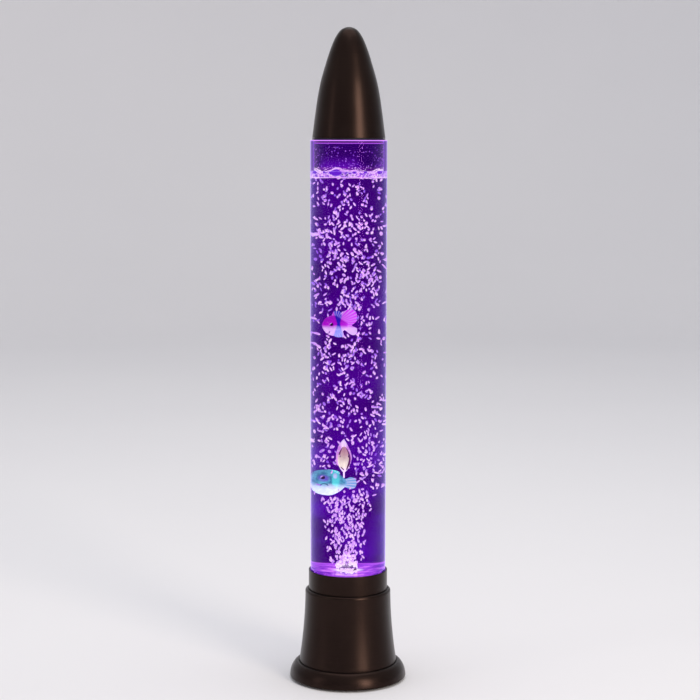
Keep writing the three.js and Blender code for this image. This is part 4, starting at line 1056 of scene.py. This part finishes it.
# %% [markdown]
# The air leaves the nozzle as one crowded white stream, spreads into a plume, and fills the whole tube
# higher up. Each zone has its own rule for where a bubble may start, how large it is and how bright,
# and a bubble that would touch a fish is left out. A particle system could scatter them too,
# but plain rules are easier to steer.

# %% Plume and bubbles
PLUME_LOW, PLUME_HEIGHT, PLUME_ASIDE = 111.5, 65.5, -1.5
COLUMN_LOW, COLUMN_TOP, COLUMN_RADIUS = 170, 468, 29.8
CLUSTER_SHARE, CLUSTER_REACH, DIM_SHARE = 0.35, (6, 6, 7), 0.3
STREAM_LOW, STREAM_HEIGHT, STREAM_ASIDE, STREAM_RADIUS = 107.5, 12, -0.8, 7
WALL_BUBBLE_RADIUS = 30.4


def plume(count):
    """Bubbles over the nozzle: half in a core that widens upwards, half in a looser coat round it."""
    made = 0
    while made < count:
        share = random.random()
        spread = 5.5 + 10 * share ** 0.6 if made % 2 else 14 + 6 * share * share
        angle = random.uniform(0, FULL_TURN)
        out = spread * math.sqrt(random.random())
        spot = around(out, angle, PLUME_LOW + share * PLUME_HEIGHT, PLUME_ASIDE)
        if near_fish(spot):
            continue
        sizes = (random.uniform(0.55, 0.9), random.uniform(0.5, 0.8), random.uniform(1.2, 2.3))
        yield tilted(spot, sizes, 0.5), random.uniform(0.5, 1.0)
        made += 1


def column(count):
    """Bubbles in the whole tube. About a third keep close to the one before, in loose clusters."""
    made = 0
    spot = Vector((0, 0, 300)) * MM
    while made < count:
        near = spot + Vector([random.uniform(-1, 1) * reach * MM for reach in CLUSTER_REACH])
        angle = random.uniform(0, FULL_TURN)
        out = COLUMN_RADIUS * math.sqrt(random.random())
        alone = around(out, angle, COLUMN_LOW + random.random() * (COLUMN_TOP - COLUMN_LOW))
        spot = near if random.random() < CLUSTER_SHARE else alone
        inside = spot.xy.length < COLUMN_RADIUS * MM and COLUMN_LOW * MM < spot.z < COLUMN_TOP * MM
        if not inside or near_fish(spot):
            spot = alone
            continue
        sizes = (random.uniform(0.6, 1.0), random.uniform(0.5, 0.8), random.uniform(1.1, 2.2))
        dim = random.random() < DIM_SHARE
        brightness = random.uniform(0.1, 0.45) if dim else random.uniform(0.65, 1.0)
        yield tilted(spot, sizes, 0.7), brightness
        made += 1


def wall_bubbles(count):
    """Broad flat bubbles that cling to the wall on both sides and show as level streaks."""
    for number in range(count):
        angle = (-1 if number % 2 else 1) * math.radians(random.uniform(48, 74)) - QUARTER_TURN
        spot = around(WALL_BUBBLE_RADIUS, angle, random.uniform(180, 460))
        shape = sized(0.6, random.uniform(2.4, 4.4), random.uniform(0.6, 1.1))
        yield Matrix.Translation(spot) @ turn(angle, "Z") @ shape, random.uniform(0.3, 0.8)


def nozzle_stream(count):
    """The brightest bubbles: over and round the nozzle where the air comes out. A third lie before it."""
    for number in range(count):
        angle = random.uniform(0, FULL_TURN)
        share = random.random()
        if share < 0.4:
            out = random.uniform(6.2, STREAM_RADIUS)
        else:
            out = STREAM_RADIUS * (1.2 - share) * math.sqrt(random.random())
        spot = around(out, angle, STREAM_LOW + STREAM_HEIGHT * share, STREAM_ASIDE)
        if number % 3 == 0:
            aside = random.gauss(STREAM_ASIDE, 3.4)
            spot = Vector((aside, random.uniform(-28, -7), random.uniform(106.8, 108.2))) * MM
        sizes = (random.uniform(0.8, 1.3), random.uniform(0.6, 1.0), random.uniform(1.0, 1.9))
        yield tilted(spot, sizes, 0.9), random.uniform(0.55, 1.0)


def keep_balls(shape, name, material):
    keep(shape, name, "base", "clear_acrylic", material=material, sharp=ALL_SMOOTH)


BALL = ball_mesh(segments=8, rings=5)
source_paint = paint_bubbles("source_bubbles", rgb(206, 130, 246), rgb(255, 224, 255), rgb(255, 250, 255))
keep_balls(add_balls(start_balls(), BALL, plume(count=300)), "bubble_plume", bubble_paint)
keep_balls(add_balls(start_balls(), BALL, nozzle_stream(count=120)), "bubble_source", source_paint)
rising = add_balls(start_balls(), BALL, column(count=1200))
keep_balls(add_balls(rising, BALL, wall_bubbles(count=16)), "bubbles_rising", bubble_paint)

# %% [markdown]
# Where the bubbles reach the surface they pile up as foam, with a few large clear domes that last longer.
# They are balls again, half sunk or pressed flat. Each has a painted glow: a bright ring as a painted
# highlight, violet in its middle and a dark seam of painted shade round it, from how far its skin is turned
# away from the eye.

# %% Foam
FOAM_RADIUS, FOAM_LINE_RADIUS, FOAM_DEPTH, CELL_RISE = 31.4, 31.2, 5.4, 4.8
DOME_RISE, DOME_THICKEST, SUNK = 0.54, 2.6, 0.2


def paint_foam():
    material, tree = start_glowing("foam_cells", 0.2)
    own = own_brightness(tree)
    facing = place(tree, "LayerWeight", {"Blend": 0.5}, "Facing")
    start = own * -0.4 + 0.5
    # A painted bright ring where the skin turns from the eye, and further out a dark seam of painted shade.
    lined = facing.ramp(start, start + 0.25) * noise_of(object_place(tree), 500.0).ramp(0.3, 0.5)
    tone = lined.mix(own.mix(rgb(100, 34, 200), rgb(226, 150, 250)), rgb(255, 226, 255))
    glow = facing.ramp(0.82, 0.92).mix(tone, rgb(64, 12, 140))
    return dress(material, Base_Color=BUBBLE_BASE, Emission_Color=glow)


# Humps of the foam's edge as (x, width, rise), and domes as (x, y, half width), all in millimetres.
CREST_HUMPS = [(-11.3, 5.6, 3.4), (-31, 3.6, 2.6), (28.5, 4.4, 2.4), (4, 8, 0.9)]
DOMES = [
    (-11.3, -27, 6.2), (-28, -11, 3.4), (26, -15, 3.6), (5, -29, 2.4), (-2, -29, 1.9), (14, -27, 2.2),
    (-20, -22, 2.4),
]


def crest_height(x, y):
    """How far the foam's upper edge stands above its low line: a few humps and a small ripple."""
    humps = [rise * math.exp(-(((x - middle) / width) ** 2)) for middle, width, rise in CREST_HUMPS]
    return 0.25 * math.sin(x * 0.9 + y * 0.5) + sum(humps)


def foam_line(height, thick, lift):
    """A wavy line with a painted glow along the wall: a thin turned ring that is lifted by a share of the
    humps.
    """
    sides = [number / 6 * FULL_TURN for number in range(6)]
    outline = [(FOAM_LINE_RADIUS + thick * math.cos(side), height + thick * math.sin(side)) for side in sides]
    ring = turned(outline, steps=160)
    own = ring.verts.layers.float.new("brightness")
    for vertex in ring.verts:
        vertex.co.z += crest_height(vertex.co.x / MM, vertex.co.y / MM) * lift * MM
        vertex[own] = 1.0
    return ring


def foam_cells(count):
    for _ in range(count):
        angle = random.uniform(0, FULL_TURN)
        size = random.uniform(0.8, 1.9)
        out = (FOAM_RADIUS - size) * (1 if random.random() < 0.8 else math.sqrt(random.random()))
        crest = crest_height(out * math.cos(angle), out * math.sin(angle))
        height = WATER_TOP - FOAM_DEPTH + random.random() * (CELL_RISE + 0.6 * crest)
        yield tilted(around(out, angle, height), (size, size, size * 0.8), 0.3), random.uniform(0.1, 0.9)


def domes():
    for x, y, size in DOMES:
        along_wall = turn(math.atan2(y, x) + QUARTER_TURN, "Z")
        shape = sized(size, min(size, DOME_THICKEST), size * DOME_RISE)
        yield shift(x, y, WATER_TOP - SUNK) @ along_wall @ shape, 0.0


foam = add_balls(start_balls(), ball_mesh(segments=10, rings=6), foam_cells(count=300))
foam = add_balls(foam, ball_mesh(segments=20, rings=14), domes())
upper_line = foam_line(WATER_TOP - SUNK, thick=0.55, lift=1.0)
lower_line = foam_line(WATER_TOP - 5.0, thick=0.45, lift=0.15)
join_shapes(foam, upper_line, lower_line)
keep_balls(foam, "foam", paint_foam())

# %% [markdown]
# Above the foam the tube's wall is wet with fine droplets, more of them near the water.
# They are small balls pressed flat on the wall, because a drop is held to it by its own skin.

# %% Droplets
DROP_RADIUS, DROPS_START, DROPS_REACH, DROP_THICKNESS = 31.7, 2.5, 20, 0.2


def wall_drops(count):
    for _ in range(count):
        angle = random.uniform(0, FULL_TURN)
        spot = around(DROP_RADIUS, angle, WATER_TOP + DROPS_START + DROPS_REACH * random.random() ** 2)
        size = random.uniform(0.3, 0.6)
        matrix = Matrix.Translation(spot) @ turn(angle, "Z") @ sized(DROP_THICKNESS, size, size)
        yield matrix, random.uniform(0.2, 1.0)


# Each droplet gets a painted glint: the bubbles' painted glow, whiter on its lower side.
droplet_paint = paint_bubbles("droplet_glints", rgb(132, 60, 214), rgb(236, 170, 255), rgb(255, 225, 255))
droplets = add_balls(start_balls(), ball_mesh(segments=6, rings=4), wall_drops(count=190))
keep_balls(droplets, "droplets", droplet_paint)

# %% [markdown]
# The fish are painted plastic. A body is an outline spun round its length, then pressed flat.
# A fin is a thin outline that is extruded and rounded. Each fish has a plan of points, given
# in its own frame: millimetres back from the nose, and up from the line through the nose.

# %% Fish plans
FISH_PLANS = [
    {
        "name": "fish_pink", "body": "pink_fish", "slot": "pink_paint",
        "nose": (-19.5, -4, 336.3), "heading": 0, "length": 19, "height": 18.5, "thickness": 9.4,
        "sink": -1.5, "keel": 0, "glow": 0.95,
        "profile": [(0, 0), (0.05, 0.34), (0.18, 0.76), (0.4, 1), (0.6, 0.95), (0.82, 0.55), (1, 0.3)],
        "fins": [
            [(13.5, -1), (14.2, 7), (16.5, 11.6), (20, 13.2), (24, 12.2), (25.6, 8), (25.2, 2.5),
             (21.8, -1.4), (25.4, -4), (25, -9.2), (21.5, -9.8), (17.2, -5.6)],
            [(7, 5), (8.4, 10.6), (11, 11.9), (14, 11), (14.6, 5)],
            [(8.6, -6), (9.4, -10.8), (12.6, -12.2), (16, -10.6), (15, -5)],
        ],
        "side": [(0, -1.6), (3, -3.4), (5.6, -2.4), (4.6, 0.6), (0, 1.2)], "spread": 0.5,
        "eye": (7.0, -0.3, 1.6),
    },
    {
        "name": "fish_teal", "body": "teal_fish", "slot": "teal_paint",
        "nose": (-26, 8.5, 187.0), "heading": 0, "length": 25, "height": 23.6, "thickness": 11,
        "sink": -0.3, "keel": 0, "glow": 1.15,
        "profile": [(0, 0), (0.04, 0.4), (0.16, 0.82), (0.38, 1), (0.62, 0.99), (0.85, 0.62), (1, 0.18)],
        "fins": [
            [(21.5, -3), (24.4, -4.4), (27.6, -6), (30.4, -4.8), (31.4, -0.6), (30.4, 3.6), (27.6, 5),
             (24.4, 3.4), (21.5, 2.5)],
            [(8, 8), (10.5, 11.4), (16, 11.8), (20.5, 9.6), (20, 5)],
            [(9, -8), (11, -11.8), (14.5, -12.2), (18, -9.6), (17, -6)],
        ],
        "side": [(0, -2), (4, -4.4), (7.4, -3), (6, 0.8), (0, 1.4)], "spread": 0.35,
        "eye": (8.8, 4.6, 1.8),
    },
    {
        "name": "fish_orange", "body": "orange_fish", "slot": "orange_paint",
        "nose": (-3.3, -28.5, 212.6), "heading": QUARTER_TURN, "length": 23, "height": 25.2,
        "thickness": 10.8, "sink": 0, "keel": 0.35, "glow": 1.12,
        "profile": [(0, 0), (0.05, 0.3), (0.18, 0.72), (0.38, 1), (0.58, 0.92), (0.8, 0.5), (1, 0.24)],
        "fins": [
            [(21.5, -2.4), (25, -5.6), (29.4, -7), (28.2, 0), (29.4, 7), (25, 5.6), (21.5, 2.4)],
            [(6, 8), (8.5, 13.6), (12, 17.8), (15.5, 17.4), (18.5, 13), (19.5, 6)],
            [(6, -8), (8.5, -13.6), (12, -17.6), (15.5, -17.2), (18.5, -13), (19.5, -6)],
        ],
        "veil": [(4, -6), (6.2, -4.6), (6.6, 3.6), (5.6, 8.7), (4.1, 13.6), (1.6, 17.2), (0.3, 18.2),
                 (-1.4, 16.2), (-3.3, 12), (-5.3, 7), (-6.3, 0.5), (-4, -6)],
        "side": [(0, -2), (1.8, -2.4), (2.2, 0), (1.6, 2.6), (0, 2)], "spread": 0.4,
        "eye": (4.6, 3.4, 1.2),
    },
]
print(len(FISH_PLANS), "fish planned")

# %% [markdown]
# These helpers turn a plan into shapes. A sculpted fish would have to be remade for every change,
# while a spun body and extruded fins follow the plan at once. The flank helper tells how thick the body is
# at a place, so that eyes and side fins sit on its surface.

# %% Fish helpers
FIN_THICKNESS, FIN_EDGE, FIN_SHARP = 1.1, 0.25, 1.2
SIDE_FIN_SHARE, SIDE_FIN_LOW, SIDE_FIN_ROOT, VEIL_SHARE = 0.42, 2, 1, 0.4
EYE_FLATNESS, EYE_ROOT = 0.6, 0.4


def fish_body(plan):
    """A plump body, nose at the origin, tail towards +X. A keel thins it towards back and belly."""
    points = [(radius * plan["height"] / 2, along * plan["length"]) for along, radius in plan["profile"]]
    line = [(max(radius, 0), along) for radius, along in smooth_through(points, 30)]
    line[0] = (0, 0)
    line.append((0, plan["length"]))
    flat = Matrix.Diagonal((1, plan["thickness"] / plan["height"], 1, 1))
    body = moved(turned(line, steps=40), flat @ turn(QUARTER_TURN, "Y"))
    for vertex in body.verts:
        high = min(abs(vertex.co.z) / (plan["height"] / 2 * MM), 1)
        vertex.co.y *= (1 - high * high) ** plan["keel"]
    return moved(body, shift(0, 0, plan["sink"]))


def flank(plan, along, up):
    """Half the body's thickness at a place seen from the side."""
    share = along / plan["length"]
    before, after = [pair for pair in zip(plan["profile"], plan["profile"][1:]) if pair[0][0] <= share][-1]
    part = (share - before[0]) / (after[0] - before[0])
    size = before[1] + part * (after[1] - before[1])
    high = min(abs(up - plan["sink"]) / (size * plan["height"] / 2), 1)
    return size * plan["thickness"] / 2 * math.sqrt(1 - high * high)


def fin_sheet(points, steps=36):
    """A thin fin with rounded rims, from a smooth line through a few points."""
    return plate(smooth_through(points, steps), FIN_THICKNESS, FIN_EDGE, FIN_SHARP, 2)


def fish_fins(plan):
    """The fins on the middle plane, a pair that spreads from the flanks, and a veil across if planned."""
    fins = [fin_sheet(points) for points in plan["fins"]]
    root = plan["length"] * SIDE_FIN_SHARE
    out = flank(plan, root, -SIDE_FIN_LOW) - SIDE_FIN_ROOT
    for side in (1, -1):
        place_of_fin = shift(root, side * out, -SIDE_FIN_LOW) @ turn(side * plan["spread"], "Z")
        fins.append(moved(fin_sheet(plan["side"], 20), place_of_fin))
    if "veil" in plan:
        place_of_veil = shift(plan["length"] * VEIL_SHARE, 0, plan["sink"]) @ turn(QUARTER_TURN, "Z")
        fins.append(moved(fin_sheet(plan["veil"]), place_of_veil))
    return join_shapes(*fins)


def fish_eyes(plan):
    along, up, size = plan["eye"]
    shape = bmesh.new()
    for side in (-1, 1):
        spot = shift(along, side * (flank(plan, along, up) - EYE_ROOT), up)
        matrix = spot @ sized(size, size * EYE_FLATNESS, size)
        bmesh.ops.create_uvsphere(shape, u_segments=20, v_segments=12, radius=1, matrix=matrix)
    return shape


print("Fish helpers are ready")

# %% [markdown]
# Each fish has its own paint. The patterns are masks on the place within the body: bands along its length,
# a pale belly by height, and dark curves on the one that looks towards us. Places are in millimetres,
# back from the nose, across and up. The tones are given colours, and each mask has its own soft edge.


# %% Fish tones
def fish_place(tree, plan):
    """Place in the fish's own frame, in millimetres, with the nose at zero and the tail towards +X."""
    from_nose = {0: object_place(tree), 1: Vector(plan["nose"]) * -MM}
    back = {"Vector": place(tree, "VectorMath", from_nose, operation="ADD"), "Angle": -plan["heading"]}
    level = place(tree, "VectorRotate", back, rotation_type="Z_AXIS")
    return split(place(tree, "VectorMath", {0: level, "Scale": 1 / MM}, operation="SCALE"))


def oval(across, up, half_across, half_up):
    """0 in the middle of an oval, 1 on its rim."""
    wide, tall = across / half_across, up / half_up
    return (wide * wide + tall * tall).root()


def arc_mask(x, z, centre, radius, low, high):
    """A thin arc: part of a circle round a place, between two heights."""
    line = oval(x - centre[0], z - centre[1], radius, radius).away(1.0).ramp(0.16, 0.08)
    return line * z.ramp(low - 0.3, low) * z.ramp(high + 0.3, high)


def pink_tone(x, y, z):
    band = (x.away(12.2) - (z.away(0.5) * 0.22 + 1.1)).ramp(0.5, -0.5)
    belly = z.ramp(-0.5, -4.8)
    pink = belly.mix(x.ramp(12, 22).mix(rgb(206, 16, 216), rgb(234, 70, 252)), rgb(252, 208, 255))
    blue = belly.mix(rgb(36, 26, 190), rgb(160, 172, 255))
    mouth = arc_mask(x, z, (2.6, -6.4), 3.0, -9.4, -6.6)
    return mouth.mix(band.mix(pink, blue), rgb(70, 10, 110))


def teal_tone(x, y, z):
    clouds = noise_of(object_place(x.tree), 210.0, 3.0)
    back = clouds.ramp(0.4, 0.6).mix(rgb(50, 138, 158), rgb(98, 198, 204))
    back = x.away(17.6).ramp(3.4, 1.4).mix(back, rgb(92, 240, 220))
    around_eye = oval(x - 9.2, z - 4.2, 5.4, 4.4).ramp(1.0, 0.4) * 0.75
    back = around_eye.mix(back, rgb(128, 92, 206))
    tone = (clouds * 3.0 + z).ramp(2.0, -4.5).mix(back, rgb(226, 250, 255))
    # A painted highlight: a small pale spot at the top of the band.
    spot = oval(x - 17.4, z - 6.6, 1.5, 2.6).ramp(1.2, 0.6)
    tone = spot.mix(tone, rgb(206, 232, 255))
    tail = x.ramp(22.5, 26).mix(tone, rgb(118, 172, 200))
    return arc_mask(x, z, (9.6, -3.8), 3.0, -2.8, -0.6).mix(tail, rgb(16, 92, 116))


def orange_tone(x, y, z):
    """Cream, whiter below, with a dark broken line that follows the leaf-shaped front and a slanted dash."""
    cream = z.ramp(9.0, -4.0).mix(rgb(236, 186, 170), rgb(255, 246, 206))
    cream = z.ramp(-6.0, -10.0).mix(cream, rgb(255, 234, 250))
    high = z / 12.6
    rounding = (high * high * -1.0 + 1.0).clamped()
    reach = z.ramp(1.0, -9.0) * -1.1 + 5.4
    rim = y.away(0) / (rounding ** 0.85 * reach + 0.05)
    broad = z.ramp(2.0, -4.0) * 0.08 + 0.16
    outline = (rim.away(0.87) - broad).ramp(0.02, -0.04)
    lift = y.ramp(-0.2, 0.2) * -14.0 + z
    kept = lift.ramp(-9.8, -9.2) * z.ramp(11.8, 11.2)
    slant = y * -0.98 + z
    dash = slant.away(-9.6).ramp(0.9, 0.5) * y.away(1.5).ramp(1.6, 1.2)
    return (outline * kept).larger(dash).mix(cream, rgb(84, 14, 50))


def orange_fin_tone(x, y, z):
    return y.away(0.3).ramp(3.2, 0.8).mix(rgb(212, 136, 222), rgb(252, 230, 250))


BODY_TONES = {"fish_pink": pink_tone, "fish_teal": teal_tone, "fish_orange": orange_tone}
FIN_TONES = {**BODY_TONES, "fish_orange": orange_fin_tone}
print("Fish tones are ready")

# %% [markdown]
# The paint has a weak painted glow, stronger where it faces down, because the light comes from below.
# Scales are cells pressed into the body, each darker towards its rim: painted shade in the grooves.
# Fin rays are stripes that fan out from the body's middle. Both show as a change of tone and as a bump.


# %% Fish paint
def lit_from_below(material, colour, **looks):
    light = facing_up(material.node_tree).ramp(0.9, -0.7) * 0.55 + 0.45
    return dress(material, Base_Color=colour, Emission_Color=light.mix(BLACK, colour), **looks)


def paint_body(plan):
    """The tones with a bump of small scales, darker towards each scale's rim as painted shade in the grooves.
    """
    material, tree = start_glowing(plan["slot"], 0.32, plan["glow"])
    cells = place(tree, "TexVoronoi", {"Vector": object_place(tree), "Scale": 620.0}, "Distance")
    scales = cells.ramp(0.1, 0.7)
    tone = BODY_TONES[plan["name"]](*fish_place(tree, plan))
    # Painted shade: darker towards each scale's rim, in the grooves between scales.
    shaded = (scales * 0.16).mix(tone, rgb(40, 10, 90))
    return lit_from_below(material, shaded, Normal=bump(scales, 0.35, 0.0003))


def paint_fins(plan):
    """Thin fins show their rays: fine stripes that fan out from the body."""
    material, tree = start_glowing(f"{plan['slot']}_fins", 0.4, plan["glow"])
    x, y, z = fish_place(tree, plan)
    fan = z.step("ARCTAN2", x - plan["length"] * 0.5) * 40.0
    ray = fan.step("SINE").ramp(-0.2, 0.8)
    striped = (ray * 0.4).mix(FIN_TONES[plan["name"]](x, y, z), rgb(255, 236, 255))
    return lit_from_below(material, striped, Normal=bump(ray, 0.4, 0.0002))


def paint_eye():
    material, tree = start_glowing("fish_eye", 0.08, 0.6)
    facing = split(place(tree, "NewGeometry", output="Normal"))
    glint = (facing[2] - facing[0]).ramp(0.55, 0.8)
    dark = noise_of(object_place(tree), 1500.0).mix(rgb(22, 4, 34), rgb(44, 12, 66))
    tone = glint.mix(dark, rgb(244, 204, 255))
    return dress(material, Base_Color=tone, Emission_Color=tone)


print("Fish paint is ready")

# %% [markdown]
# Now each plan becomes three pieces: a body, its fins and its eyes. They could be one mesh with three
# materials, but apart they are easier to select and to repaint, and they ride on the same body of the model.

# %% Fish
eye_paint = paint_eye()
for plan in FISH_PLANS:
    name = plan["name"]
    spot = shift(*plan["nose"]) @ turn(plan["heading"], "Z")
    for part, make, paint, sharp in (
        ("body", fish_body, paint_body(plan), 60),
        ("fins", fish_fins, paint_fins(plan), 50),
        ("eyes", fish_eyes, eye_paint, ALL_SMOOTH),
    ):
        replaced = name if part == "body" else None
        keep(moved(make(plan), spot), f"{name}_{part}", plan["body"], plan["slot"], replaced, paint, sharp)

# %% [markdown]
# The pieces inside the base keep their CAD shapes, because nobody sees them from outside.
# Each still gets the finish of its slot with its own detail, for the day someone takes the lamp apart.

# %% Finishes for the inner pieces
slot_of = {entry["node"]: entry["material_slot"] for entry in frame["record"]["subparts"]}
painted = 0
for node, piece in frame["nodes"].items():
    if slot_of[node] not in FINISHES or piece.hide_render:
        continue
    for slot in piece.material_slots:
        slot.material = FINISHES[slot_of[node]]
    painted += 1
print("Finishes on", painted, "CAD pieces")

# %% [markdown]
# Last, the sizes are gathered: the CAD box from the start and the box of what now shows.

# %% Sizes
boxes = {"cad": cad_box, "visual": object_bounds()}
{name: [list(corner) for corner in box] for name, box in boxes.items()}
